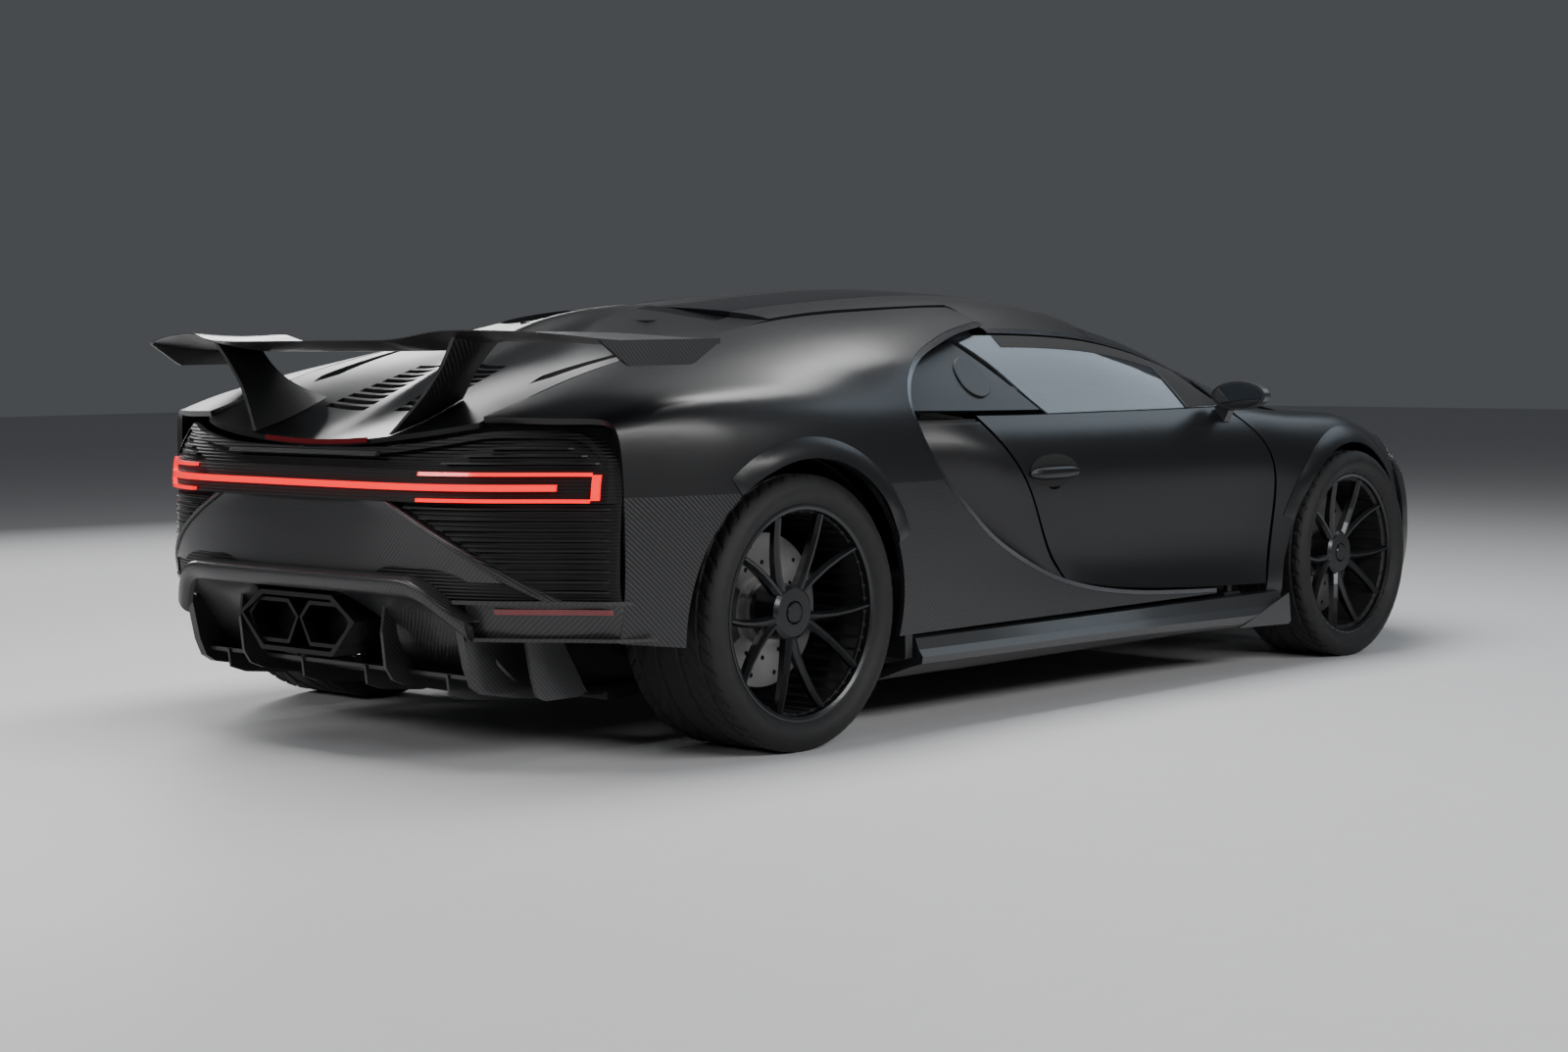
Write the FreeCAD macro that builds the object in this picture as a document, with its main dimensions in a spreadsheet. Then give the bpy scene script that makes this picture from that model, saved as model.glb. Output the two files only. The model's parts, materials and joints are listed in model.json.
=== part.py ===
# Hypercar, rebuilt as an assembly of separate named pieces.
# Millimetres, +X forward, +Y left, +Z up; origin on the ground below the middle of the car.
# Body panels are patches of two faired skins: the cabin skin (nose, doors, roof) and the
# haunch skin (rear quarters). Every line of a skin runs the length of the car.
import FreeCAD, Part
import math
import os
from FreeCAD import Vector

os.makedirs("parts", exist_ok=True)
doc = FreeCAD.newDocument("hypercar")

# Named sizes
sheet = doc.addObject("Spreadsheet::Sheet", "sizes")
SIZES = {
    "half_length": 2272.0,
    "axle_front_x": 1302.0,
    "axle_rear_x": -1409.0,
    "track_front": 1749.0,
    "track_rear": 1666.0,
    "tyre_front_radius": 339.5,
    "tyre_front_width": 285.0,
    "rim_front_radius": 266.0,
    "tyre_rear_radius": 355.5,
    "tyre_rear_width": 350.0,
    "rim_rear_radius": 279.0,
    "disc_front_radius": 210.0,
    "disc_rear_radius": 200.0,
    "disc_thickness": 36.0,
    "arch_front_radius": 366.0,
    "arch_rear_radius": 396.0,
    "flare_width": 54.0,
    "floor_height": 125.0,
    "panel_gap": 5.0,
    "skin_thickness": 14.0,
    "door_thickness": 78.0,
    "glass_thickness": 5.0,
    "seat_gap": 0.3,
    "spoke_count": 5.0,
    "lower_blades": 9.0,
    "upper_blades": 3.0,
    "door_hinge_x": 655.0,
    "door_hinge_y": 925.0,
    "lid_hinge_x": 1100.0,
    "lid_hinge_z": 812.0,
    "wing_half_span": 915.0,
    "steer_pin_y": 800.0,
}
for row, (alias, value) in enumerate(SIZES.items(), start=1):
    sheet.set("A%d" % row, str(value))
    sheet.setAlias("A%d" % row, alias)
doc.recompute()


def size(alias):
    """Number held in the sheet under an alias."""
    return float(sheet.get(alias))


GAP = size("panel_gap")
SKIN = size("skin_thickness")
SEAT = size("seat_gap")
FRONT_X = size("axle_front_x")
REAR_X = size("axle_rear_x")
FRONT_R = size("tyre_front_radius")
REAR_R = size("tyre_rear_radius")
GLASS = size("glass_thickness")
RIGHT, LEFT = -1, 1
TUB_SHOULDER = 700.0          # half width of the tub behind the cabin
SILL_HALF = 735.0             # half width of the tub beside the door
FLOOR_HALF = 835.0            # half width of the floor between the wheels
BULKHEAD_HALF = 590.0
FLOOR_TOP = 150.0
BULKHEAD_TOP = 1050.0


# Curve tools
def fair(xs, ys):
    """Smooth curve through (xs, ys) that keeps the points' own rise and fall."""
    n = len(xs)
    h = [xs[i + 1] - xs[i] for i in range(n - 1)]
    d = [(ys[i + 1] - ys[i]) / h[i] for i in range(n - 1)]
    m = [d[0]] + [0.0] * (n - 2) + [d[-1]]
    for i in range(1, n - 1):
        if d[i - 1] * d[i] > 0:
            w1, w2 = 2 * h[i] + h[i - 1], h[i] + 2 * h[i - 1]
            m[i] = (w1 + w2) / (w1 / d[i - 1] + w2 / d[i])

    def curve(x):
        x = min(max(x, xs[0]), xs[-1])
        i = 0
        while i < n - 2 and x > xs[i + 1]:
            i += 1
        t = (x - xs[i]) / h[i]
        a, b = ys[i], ys[i + 1]
        return (a * (1 + 2 * t) * (1 - t) ** 2 + b * t * t * (3 - 2 * t)
                + h[i] * (m[i] * t * (1 - t) ** 2 + m[i + 1] * t * t * (t - 1)))
    return curve


def along(pairs):
    """Fair curve from (x, y) pairs in any order of x."""
    pairs = sorted(pairs)
    return fair([p[0] for p in pairs], [p[1] for p in pairs])


def mix(a, b, t):
    """Value a share t of the way from a to b."""
    return a + (b - a) * t


class Skin:
    """Half body surface from stations of (half width, height); mirrored past the middle."""

    def __init__(self, table):
        xs = sorted(table)
        self.last = len(table[xs[0]]) - 1
        self.wide = [fair(xs, [table[x][i][0] for x in xs]) for i in range(self.last + 1)]
        self.high = [fair(xs, [table[x][i][1] for x in xs]) for i in range(self.last + 1)]

    def at(self, x, line):
        """(half width, height) at station x and line number (with fractions)."""
        line = min(max(line, 0.0), float(self.last))
        i = min(int(line), self.last - 1)
        t = line - i
        out = []
        for rows, flip in ((self.wide, -1.0), (self.high, 1.0)):
            p1, p2 = rows[i](x), rows[i + 1](x)
            p0 = rows[i - 1](x) if i > 0 else 2 * p1 - p2
            if i + 2 <= self.last:
                p3 = rows[i + 2](x)
            else:
                p3 = flip * rows[self.last - 1](x) if abs(p2) < 1e-6 or flip > 0 else 2 * p2 - p1
            out.append(0.5 * (2 * p1 + (p2 - p0) * t + (2 * p0 - 5 * p1 + 4 * p2 - p3) * t * t
                              + (3 * p1 - p0 - 3 * p2 + p3) * t ** 3))
        return out

    def point(self, x, line, side):
        """Point on the skin; a line number past the middle crosses to the other side."""
        if line > self.last:
            line, side = 2 * self.last - line, -side
        w, z = self.at(x, line)
        return Vector(x, side * w, z)

    def line_at_height(self, x, z, low=0.0, high=8.0):
        """Line number at which the side of the section reaches height z."""
        for _ in range(22):
            mid = 0.5 * (low + high)
            if self.at(x, mid)[1] < z:
                low = mid
            else:
                high = mid
        return 0.5 * (low + high)

    def line_at_width(self, x, y, low=5.0):
        """Line number at which the top of the section comes in to half width y."""
        high = float(self.last)
        for _ in range(22):
            mid = 0.5 * (low + high)
            if self.at(x, mid)[0] > y:
                low = mid
            else:
                high = mid
        return 0.5 * (low + high)


# Solid tools
def surface(grid, exact=False):
    """Smooth surface with the grid's points as its control net, or through them if exact."""
    nu, nv = len(grid), len(grid[0])
    if exact:
        out = Part.BSplineSurface()
        out.interpolate(grid)
        return out
    du, dv = min(3, nu - 1), min(3, nv - 1)
    mu = [du + 1] + [1] * (nu - du - 1) + [du + 1]
    mv = [dv + 1] + [1] * (nv - dv - 1) + [dv + 1]
    out = Part.BSplineSurface()
    out.buildFromPolesMultsKnots(grid, mu, mv, [float(i) for i in range(len(mu))],
                                 [float(i) for i in range(len(mv))], False, False, du, dv)
    return out


def slab(outer, inner, exact=False):
    """Solid between two point grids of one size."""
    a, b = surface(outer, exact), surface(inner, exact)
    u0, u1, v0, v1 = a.bounds()
    faces = [a.toShape(), b.toShape()]
    for pick in (lambda s: s.uIso(u0), lambda s: s.uIso(u1),
                 lambda s: s.vIso(v0), lambda s: s.vIso(v1)):
        faces.append(Part.makeRuledSurface(pick(a).toShape(), pick(b).toShape()))
    shell = Part.Shell(faces)
    shell.sewShape()
    solid = Part.Solid(shell)
    if solid.Volume < 0:
        solid.reverse()
    return solid


def inset(grid, thick, centre=Vector(0, 0, 350)):
    """Grid moved in along its normals, away from the outside."""
    nu, nv = len(grid), len(grid[0])
    sign = 0.0
    normals = []
    for i in range(nu):
        row = []
        for j in range(nv):
            a = grid[min(i + 1, nu - 1)][j] - grid[max(i - 1, 0)][j]
            b = grid[i][min(j + 1, nv - 1)] - grid[i][max(j - 1, 0)]
            n = a.cross(b)
            n = n.normalize() if n.Length > 1e-9 else Vector(0, 0, 1)
            row.append(n)
            p = grid[i][j]
            sign += n.dot(Vector(p.x * 0.15, p.y, p.z) - centre)
        normals.append(row)
    k = -thick if sign > 0 else thick
    return [[grid[i][j] + normals[i][j] * k for j in range(nv)] for i in range(nu)]


def patch(skin, side, place, nu, nv, thick):
    """Panel of a skin; place(u, v) gives the station and the line number."""
    outer = []
    for i in range(nu):
        row = []
        for j in range(nv):
            x, line = place(i / (nu - 1.0), j / (nv - 1.0))
            row.append(skin.point(x, line, side))
        outer.append(row)
    return slab(outer, inset(outer, thick))


def box(x0, x1, y0, y1, z0, z1):
    """Box between two corners, whichever order they come in."""
    xa, xb = sorted((x0, x1))
    ya, yb = sorted((y0, y1))
    za, zb = sorted((z0, z1))
    return Part.makeBox(xb - xa, yb - ya, zb - za, Vector(xa, ya, za))


def tube(ax, ay, az, radius, length, direction):
    """Round bar from a point along a direction."""
    return Part.makeCylinder(radius, length, Vector(ax, ay, az), direction)


def bar(start, end, radius):
    """Round bar between two points."""
    return Part.makeCylinder(radius, (end - start).Length, start, end - start)


def prism(points, vector):
    """Solid from a closed polygon pushed along a vector."""
    wire = Part.makePolygon(points + [points[0]])
    return Part.Face(wire).extrude(vector)


def fused(shapes):
    """One shape from several that touch."""
    out = shapes[0]
    if len(shapes) > 1:
        out = out.fuse(shapes[1:])
    return out.removeSplitter()


def trimmed(shape, cutters):
    """Solids of a shape less what its neighbours fill, without crumbs."""
    kept = []
    for rest in shape.Solids:
        for other in cutters:
            if rest.BoundBox.intersect(other.BoundBox):
                left = rest.cut(other)
                rest = left if left.Solids else rest
        largest = max([q.Volume for q in rest.Solids] or [0.0])
        kept += [q for q in rest.Solids if q.Volume > 0.12 * largest]
    return kept


def laid(pieces, under=()):
    """Pieces in one shape, each trimmed by those laid before it."""
    done = []
    for piece in pieces:
        done += trimmed(piece, list(under) + done)
    return Part.makeCompound(done)


def both(make):
    """The same piece on the right and the left in one shape."""
    return Part.makeCompound([make(RIGHT), make(LEFT)])


def mirrored(shape):
    """The same shape on the other side of the car."""
    return shape.mirror(Vector(0, 0, 0), Vector(0, 1, 0))


NODES = []


def node(name, shape):
    """Sub-part of the document with its own label; written out at the end."""
    item = doc.addObject("Part::Feature", name)
    item.Shape = shape
    item.Label = name
    item.Placement = FreeCAD.Placement()
    NODES.append(item)
    return item


# Body skins
# Lines, from below: 0 floor edge, 1-3 sill and scallop, 4 waist, 5 widest shoulder,
# 6 belt, 7 glass foot, 8 glass middle, 9 roof rail, 10-11 roof, 12 middle.
CABIN_TABLE = {
    -1250: [(800, 130), (900, 195), (925, 290), (925, 390), (932, 545), (935, 690), (915, 790),
            (875, 850), (770, 965), (585, 1068), (415, 1108), (210, 1128), (0, 1136)],
    -900: [(826, 130), (922, 195), (944, 290), (939, 388), (946, 545), (951, 690), (927, 790),
           (886, 848), (780, 1000), (605, 1112), (438, 1143), (220, 1158), (0, 1163)],
    -600: [(832, 130), (930, 195), (953, 288), (939, 384), (948, 545), (956, 688), (930, 787),
           (888, 842), (775, 1006), (612, 1121), (446, 1163), (227, 1183), (0, 1190)],
    -250: [(840, 130), (940, 195), (962, 285), (940, 380), (950, 545), (960, 685), (932, 785),
           (890, 838), (768, 1008), (616, 1126), (452, 1176), (230, 1201), (0, 1210)],
    80: [(840, 130), (940, 195), (962, 280), (940, 376), (951, 545), (962, 683), (933, 785),
         (889, 838), (772, 1000), (627, 1112), (457, 1164), (233, 1190), (0, 1199)],
    350: [(840, 130), (940, 195), (962, 275), (940, 372), (952, 545), (964, 680), (934, 785),
          (888, 837), (778, 972), (640, 1068), (460, 1117), (235, 1142), (0, 1151)],
    750: [(840, 130), (940, 195), (962, 268), (948, 370), (962, 545), (975, 680), (940, 785),
          (888, 838), (785, 893), (655, 943), (460, 984), (235, 1008), (0, 1018)],
    1010: [(840, 130), (945, 192), (975, 268), (975, 370), (988, 545), (990, 680), (945, 778),
           (885, 818), (770, 836), (645, 850), (450, 874), (230, 893), (0, 901)],
    1302: [(840, 130), (955, 190), (990, 268), (1002, 370), (1010, 540), (995, 680), (940, 775),
           (868, 809), (750, 796), (620, 790), (430, 808), (220, 826), (0, 834)],
    1560: [(815, 128), (920, 186), (960, 266), (972, 363), (974, 510), (954, 640), (902, 729),
           (838, 768), (728, 764), (605, 764), (418, 780), (213, 793), (0, 799)],
    1750: [(780, 125), (880, 180), (915, 262), (926, 355), (922, 475), (900, 590), (858, 672),
           (805, 720), (700, 728), (585, 735), (405, 750), (205, 760), (0, 765)],
}
NOSE_START = 1750.0
NOSE_DEPTH = size("half_length") - 10.0 - FRONT_X


def nose_plan(x):
    """Share of the full half width left at station x ahead of the front axle."""
    return max(1.0 - ((x - FRONT_X) / (NOSE_DEPTH + 25.0)) ** 2.5, 0.0) ** 0.5


for station in (1900.0, 2030.0, 2130.0, 2200.0, 2252.0):
    narrow = nose_plan(station) / nose_plan(NOSE_START)
    drop = 1.0 - 0.235 * ((station - NOSE_START) / 520.0) ** 1.6
    CABIN_TABLE[station] = [(w * narrow, 125.0 + (z - 125.0) * drop)
                            for w, z in CABIN_TABLE[NOSE_START]]
cabin = Skin(CABIN_TABLE)

# Lines, from below: 0-4 lower side up to the split, 5-6 side above, 7 crease, 8-9 top.
HAUNCH_TABLE = {
    -2080: [(800, 300), (830, 350), (846, 430), (852, 560), (850, 673), (846, 760), (838, 812),
            (824, 836), (770, 852), (640, 866), (560, 868)],
    -1950: [(880, 280), (900, 340), (915, 430), (920, 560), (920, 673), (918, 765), (912, 830),
            (892, 872), (820, 891), (690, 908), (560, 915)],
    -1750: [(950, 250), (965, 320), (978, 430), (984, 560), (988, 673), (984, 775), (972, 850),
            (938, 908), (850, 934), (710, 962), (560, 975)],
    -1409: [(975, 200), (990, 300), (1000, 430), (1008, 560), (1012, 673), (1006, 790),
            (985, 868), (942, 922), (868, 962), (735, 1012), (560, 1045)],
    -1150: [(972, 200), (986, 300), (996, 430), (1003, 560), (1007, 673), (1000, 790),
            (978, 868), (934, 925), (880, 985), (745, 1048), (560, 1092)],
    -950: [(966, 200), (982, 300), (990, 430), (996, 560), (998, 673), (990, 790),
           (968, 868), (936, 925), (884, 1000), (745, 1072), (560, 1116)],
    -700: [(962, 200), (978, 300), (982, 430), (988, 560), (990, 673), (982, 790),
           (958, 868), (924, 930), (866, 1008), (732, 1087), (560, 1131)],
    -300: [(962, 200), (976, 300), (970, 430), (978, 560), (982, 673), (974, 790),
           (950, 868), (910, 930), (830, 1005), (700, 1094), (560, 1145)],
    600: [(962, 200), (974, 300), (960, 430), (970, 560), (974, 673), (966, 790),
          (940, 868), (900, 930), (815, 1000), (690, 1090), (560, 1140)],
}
haunch = Skin(HAUNCH_TABLE)

# Side-view lines as station against height.
C_POINTS = [(520, 266), (255, 279), (40, 296), (-175, 328), (-340, 371), (-492, 432), (-640, 508),
            (-743, 583), (-868, 690), (-948, 805), (-962, 868), (-936, 928), (-858, 990),
            (-700, 1040), (-500, 1078), (-300, 1103)]


def c_line(shift):
    """Dividing line as station against height, moved forward-inward by shift."""
    moved = []
    for i, (x, z) in enumerate(C_POINTS):
        a, b = C_POINTS[max(i - 1, 0)], C_POINTS[min(i + 1, len(C_POINTS) - 1)]
        dx, dz = b[0] - a[0], b[1] - a[1]
        k = shift / math.hypot(dx, dz)
        moved.append((z - dx * k, x + dz * k))
    return moved


C_LINE = along(c_line(0.0))
DOOR_REAR = along([(230, -100), (262, -120), (305, -162), (392, -273), (624, -413), (828, -585)])
DOOR_FRONT = along([(230, 812), (262, 819), (420, 846), (566, 856), (640, 843), (692, 825),
                    (770, 752), (820, 681), (850, 640)])
GLASS_REAR = along([(815, -240), (830, -252), (1026, -478), (1070, -520)])


DOOR_LOW = along([(-220, 366), (-175, 349), (40, 315), (255, 298), (520, 284), (830, 272)])
SEAM_Y = 556.0


def header(line):
    """Front edge of the roof against line number."""
    return 258.0 - 40.0 * ((cabin.last - line) / 3.56) ** 2


def station_for(skin, edge, line, start, shift=0.0):
    """Station where a side-view edge meets a line of the skin."""
    x = start
    for _ in range(12):
        x = 0.5 * x + 0.5 * (edge(skin.at(x, line)[1]) + shift)
    return x


# Doors
DOOR_TOP_LINE = 6.95
HINGE_PLATE_Z = 256.0


def make_door(side):
    """Door below the glass: outer skin, inner wall and the pocket between them."""
    def place(u, v):
        x = mix(-190, 812, u)
        low = cabin.line_at_height(x, DOOR_LOW(x))
        line = mix(low, DOOR_TOP_LINE, v)
        xr = station_for(cabin, DOOR_REAR, line, -300.0, GAP)
        xf = station_for(cabin, DOOR_FRONT, line, 800.0, -GAP)
        return mix(xr, xf, u), line

    nu, nv = 12, 10
    outer = [[cabin.point(*place(i / (nu - 1.0), j / (nv - 1.0)), side) for j in range(nv)]
             for i in range(nu)]

    def inner_grid(depth, trim):
        grid = []
        for i, row in enumerate(outer):
            new = []
            for j, p in enumerate(row):
                cut = mix(trim, -trim, i / (nu - 1.0))
                lean = mix(0.0, 14.0, j / (nv - 1.0))
                new.append(Vector(p.x + cut, p.y - side * (depth - lean), p.z))
            grid.append(new)
        return grid

    thick = size("door_thickness")
    solid = slab(outer, inner_grid(thick, 10.0))
    pocket = box(-120, 560, side * (960 - thick - 30), side * (900 - thick + 45), 380, 560)
    well = Part.makeSphere(62, Vector(-300, side * 996, 668))
    solid = solid.cut(pocket).cut(well)
    handle = slab_bar([Vector(-372, side * 950, 668), Vector(-345, side * 967, 669),
                       Vector(-300, side * 972, 669), Vector(-255, side * 967, 669),
                       Vector(-228, side * 951, 668)], 11.0, 6.0)
    pin = tube(size("door_hinge_x"), side * size("door_hinge_y"), HINGE_PLATE_Z + SEAT, 12, 60,
               Vector(0, 0, 1))
    return fused([solid, handle, pin])


def slab_bar(points, height, width):
    """Slim bar of rounded plan through the points, for handles and blades."""
    outer = [[p + Vector(0, 0, height * 0.5), p + Vector(0, 0, -height * 0.5)] for p in points]
    y_in = -1.0 if points[0].y > 0 else 1.0
    inner = [[q + Vector(0, y_in * width, 0) for q in row] for row in outer]
    return slab(outer, inner)


door = make_door(RIGHT)
node("door_right", door)
node("door_left", mirrored(door))


GLASS_TOP = along([(-520, 8.40), (480, 8.38), (600, 8.24), (700, 8.02), (800, 7.70), (880, 7.10)])


def make_door_glass(side):
    """Frameless window that stands on the door."""
    def place(u, v):
        x_rear = mix(-246, -486, v)
        x_front = mix(672, 590, v)
        x = mix(x_rear, x_front, u)
        foot = cabin.line_at_height(x, cabin.at(x, DOOR_TOP_LINE)[1] + 3.6)
        return x, mix(foot, GLASS_TOP(x), v)
    return patch(cabin, side, place, 10, 6, GLASS)


node("door_glass_right", make_door_glass(RIGHT))
node("door_glass_left", mirrored(NODES[-1].Shape))


# Roof, pillars, glass
PILLAR_TOP_LINE = 8.84
RAIL = 0.13                   # lines left to the trim strip beside the roof
FIREWALL_HALF = 460.0


def make_roof():
    """Roof between the rails, from the screen back to the engine cover."""
    def place(u, v):
        line = mix(8.44 + RAIL, 2 * cabin.last - 8.44 - RAIL, v)
        return mix(-1060, header(min(line, 2 * cabin.last - line)), u), line
    rest = box(-700, -660, -400, 400, BULKHEAD_TOP + SEAT, 1160)
    shape = patch(cabin, RIGHT, place, 12, 19, 34.0)
    sides = [box(-1200, -292, side * (SEAM_Y - 2 * GAP), side * 1000, 900, 1300)
             for side in (RIGHT, LEFT)]
    return fused([shape.cut(sides), rest])


def make_pillar(side):
    """Screen pillar from the roof rail down to the cowl."""
    def place(u, v):
        x = mix(224, 990, u)
        low = GLASS_TOP(x) + 0.05 + RAIL if x < 880 else mix(7.15 + RAIL, 7.42, (x - 880) / 110.0)
        return x, mix(low, PILLAR_TOP_LINE, v)
    post = box(960, 985, side * 695, side * 735, 735, 832)
    arm = box(960, 985, side * (FIREWALL_HALF + SEAT), side * 735, 735, 765)
    return fused([patch(cabin, side, place, 11, 4, 30.0), post, arm])


node("roof", laid([make_roof(), make_pillar(RIGHT), make_pillar(LEFT)]))


def make_screen():
    """Windscreen with the two small fixed side panes."""
    def place(u, v):
        line = mix(PILLAR_TOP_LINE + 0.01, 2 * cabin.last - PILLAR_TOP_LINE - 0.01, v)
        rail = abs(v - 0.5) * 2.0
        return mix(header(min(line, 2 * cabin.last - line)) + 1.2, 1022 - 50 * rail ** 2, u), line

    def pane(side):
        def corner(u, v):
            x = mix(682, 866, u)
            low = 7.11
            return x, mix(low, max(GLASS_TOP(x) + 0.042, low + 0.05), v)
        return patch(cabin, side, corner, 6, 4, GLASS)
    return Part.makeCompound([patch(cabin, RIGHT, place, 9, 15, GLASS + 1.0),
                              pane(RIGHT), pane(LEFT)])


node("fixed_glass", make_screen())


def make_cheek(side):
    """Panel behind the side window that carries the filler cap."""
    def place(u, v):
        x = mix(-1060, -300, u)
        low = cabin.line_at_height(x, cabin.at(x, DOOR_TOP_LINE)[1] + 15.0)
        line = mix(low, 8.38, v)
        x_front = station_for(cabin, GLASS_REAR, line, -400.0, -6.0)
        return mix(-1060, x_front, u), line
    panel = patch(cabin, side, place, 9, 7, SKIN)
    p = cabin.point(-514, cabin.line_at_height(-514, 943, 6.0, 9.0), side)
    q = cabin.point(-514, cabin.line_at_height(-514, 963, 6.0, 9.0), side)
    up = (q - p).normalize()
    out = Vector(0, side * abs(up.z), abs(up.y))
    cap = Part.makeCylinder(68, 8, p - out * 4.0, out)
    cap = cap.makeFillet(2.5, [e for e in cap.Edges if e.Curve.TypeId == "Part::GeomCircle"
                               and (e.CenterOfMass - p).dot(out) > 0])
    arm = box(-700, -660, side * (BULKHEAD_HALF + SEAT), side * 850, 862, 900)
    return fused([panel, cap, arm])


node("cheeks", both(make_cheek))


def sunk_width(x, z):
    """Half width of the sunk panel: flush at the door's edge, deep behind the dividing line."""
    front, crease = DOOR_REAR(z) - GAP, C_LINE(z)
    reach = max(front - crease, 1.0)
    t = min(max((front - x) / (reach + 42.0), 0.0), 1.0)
    flush = cabin.at(x, cabin.line_at_height(x, z))[0]
    sunk = flush - 84.0 * min(1.0, reach / 260.0) * t * t * (3.0 - 2.0 * t)
    if x < crease + 4.0:
        sunk = min(sunk, haunch.at(x, haunch.line_at_height(x, z))[0] - 25.0)
    return sunk


def make_intake(side):
    """Side panel that sinks from the door's edge in behind the rear quarter, and its shelf."""
    outer = []
    for i in range(9):
        row = []
        for j in range(10):
            z = mix(352.0, 821.0, j / 9.0)
            front = DOOR_REAR(z) - GAP
            x = mix(front, min(C_LINE(z) - 42.0, front - 30.0), i / 8.0)
            row.append(Vector(x, side * sunk_width(x, z), z))
        outer.append(row)
    back = [[p + Vector(0, -side * 8, 0) for p in row] for row in outer]
    arm = box(-330, -300, side * (SILL_HALF + SEAT), side * 920, 372, 396)
    rim = [(x, sunk_width(x, 820.0) - 1.0) for x in (-600, -700, -800, -900, -975)]
    shelf = prism([Vector(x, side * y, 818) for x, y in rim + [(-975, 790), (-600, 800)]],
                  Vector(0, 0, 10))
    return fused([slab(outer, back), arm, shelf])


def c_curve(shift, back=False):
    """Dividing line as a smooth edge in the side view, at Y zero."""
    points = [Vector(x, 0, z) for z, x in c_line(shift)]
    curve = Part.BSplineCurve()
    curve.interpolate(points[::-1] if back else points)
    return curve.toShape()


def side_prism(side, edges, corners):
    """Side-view outline of smooth edges and straight corners, pushed across one side."""
    ends = [edges[-1].Vertexes[-1].Point] + [Vector(x, 0, z) for x, z in corners]
    ends.append(edges[0].Vertexes[0].Point)
    lines = [Part.makeLine(a, b) for a, b in zip(ends, ends[1:])]
    face = Part.Face(Part.Wire(edges + lines))
    face.translate(Vector(0, side * 500, 0))
    return face.extrude(Vector(0, side * 620, 0))


# Rear quarters
def place_haunch(u, v):
    """Station and line of the whole side of the rear body."""
    back = along([(0, -1968), (5, -1976), (7, -1990), (8, -2040), (9, -2085), (10, -2110)])
    line = mix(0.66, 10.0, v)
    return mix(back(line), 590.0, u), line


def haunch_sheet(side, thick):
    """Whole side of the rear body, still uncut."""
    return patch(haunch, side, place_haunch, 23, 15, thick)


def make_quarter(side):
    """Rear quarter behind the dividing line, wrapped over the wheel."""
    shape = haunch_sheet(side, SKIN + 2.0)
    arch = tube(REAR_X, side * 700, REAR_R, size("arch_rear_radius"), 500, Vector(0, side, 0))
    inside = side_prism(side, [c_curve(0.0)], [(-300, 1180), (700, 1180), (700, 262), (520, 262)])
    foot = box(-992, -962, side * (TUB_SHOULDER + SEAT), side * 972, 200, 300)
    return fused([shape.cut([arch, inside]), foot])


node("intakes", both(make_intake))
quarter = make_quarter(RIGHT)
node("quarter_right", quarter)
node("quarter_left", mirrored(quarter))


def touch(surf, x, z):
    """Point of a side surface at a station and height, by Newton steps in its parameters."""
    u0, u1, v0, v1 = surf.bounds()
    u, v = 0.5 * (u0 + u1), 0.5 * (v0 + v1)
    for _ in range(14):
        p = surf.value(u, v)
        a, b = (surf.value(u + 0.01, v) - p) * 100.0, (surf.value(u, v + 0.01) - p) * 100.0
        det = a.x * b.z - b.x * a.z
        ex, ez = x - p.x, z - p.z
        u = min(max(u + (ex * b.z - b.x * ez) / det, u0), u1 - 0.02)
        v = min(max(v + (a.x * ez - a.z * ex) / det, v0), v1 - 0.02)
    return surf.value(u, v)


def flare(surf, side, cx, cz, radius, width, proud, start, end):
    """Raised lip round a wheel arch, seated on the skin; angles run from straight ahead."""
    near, far = [], []
    for i in range(17):
        t = i / 16.0
        a = math.radians(mix(start, end, t))
        fade = min(1.0, 0.12 + 5.0 * t, 0.12 + 5.0 * (1.0 - t))
        near_row, far_row = [], []
        for j in range(5):
            k = j / 4.0
            r = radius + width * k
            p = touch(surf, cx + r * math.cos(a), cz + r * math.sin(a))
            near_row.append(p + Vector(0, side * (1.3 + proud * fade * (1.0 - k ** 2.2)), 0))
            far_row.append(p + Vector(0, side * SEAT, 0))
        near.append(near_row)
        far.append(far_row)
    return slab(near, far, True)


def grid_of(skin, side, place, nu, nv):
    """Outer surface that patch() would give."""
    return surface([[skin.point(*place(i / (nu - 1.0), j / (nv - 1.0)), side)
                     for j in range(nv)] for i in range(nu)])


# Fenders and nose
HOOD_HALF = 430.0


def hood_edge(x):
    """Half width of the front lid at a station."""
    return HOOD_HALF + 55.0 * max(0.0, (x - 1110.0) / 900.0)




fender_front = along([(0, 1702), (4.8, 1702), (5.3, 1712), (6, 1742), (7, 1800), (8, 1880),
                      (9, 1940), (10, 1985), (11, 2005)])


def place_fender(u, v):
    """Station and line of the front fender."""
    x = 1300.0
    for _ in range(8):
        top = cabin.line_at_width(x, hood_edge(x) + GAP)
        line = mix(0.62, top, v)
        x_rear = station_for(cabin, DOOR_FRONT, min(line, 7.0), 800.0, 9.0)
        x_rear = mix(x_rear, 1032.0, min(1.0, max(0.0, line - 7.0) / 1.6))
        x = mix(x_rear, fender_front(line), u)
    return x, line


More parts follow.
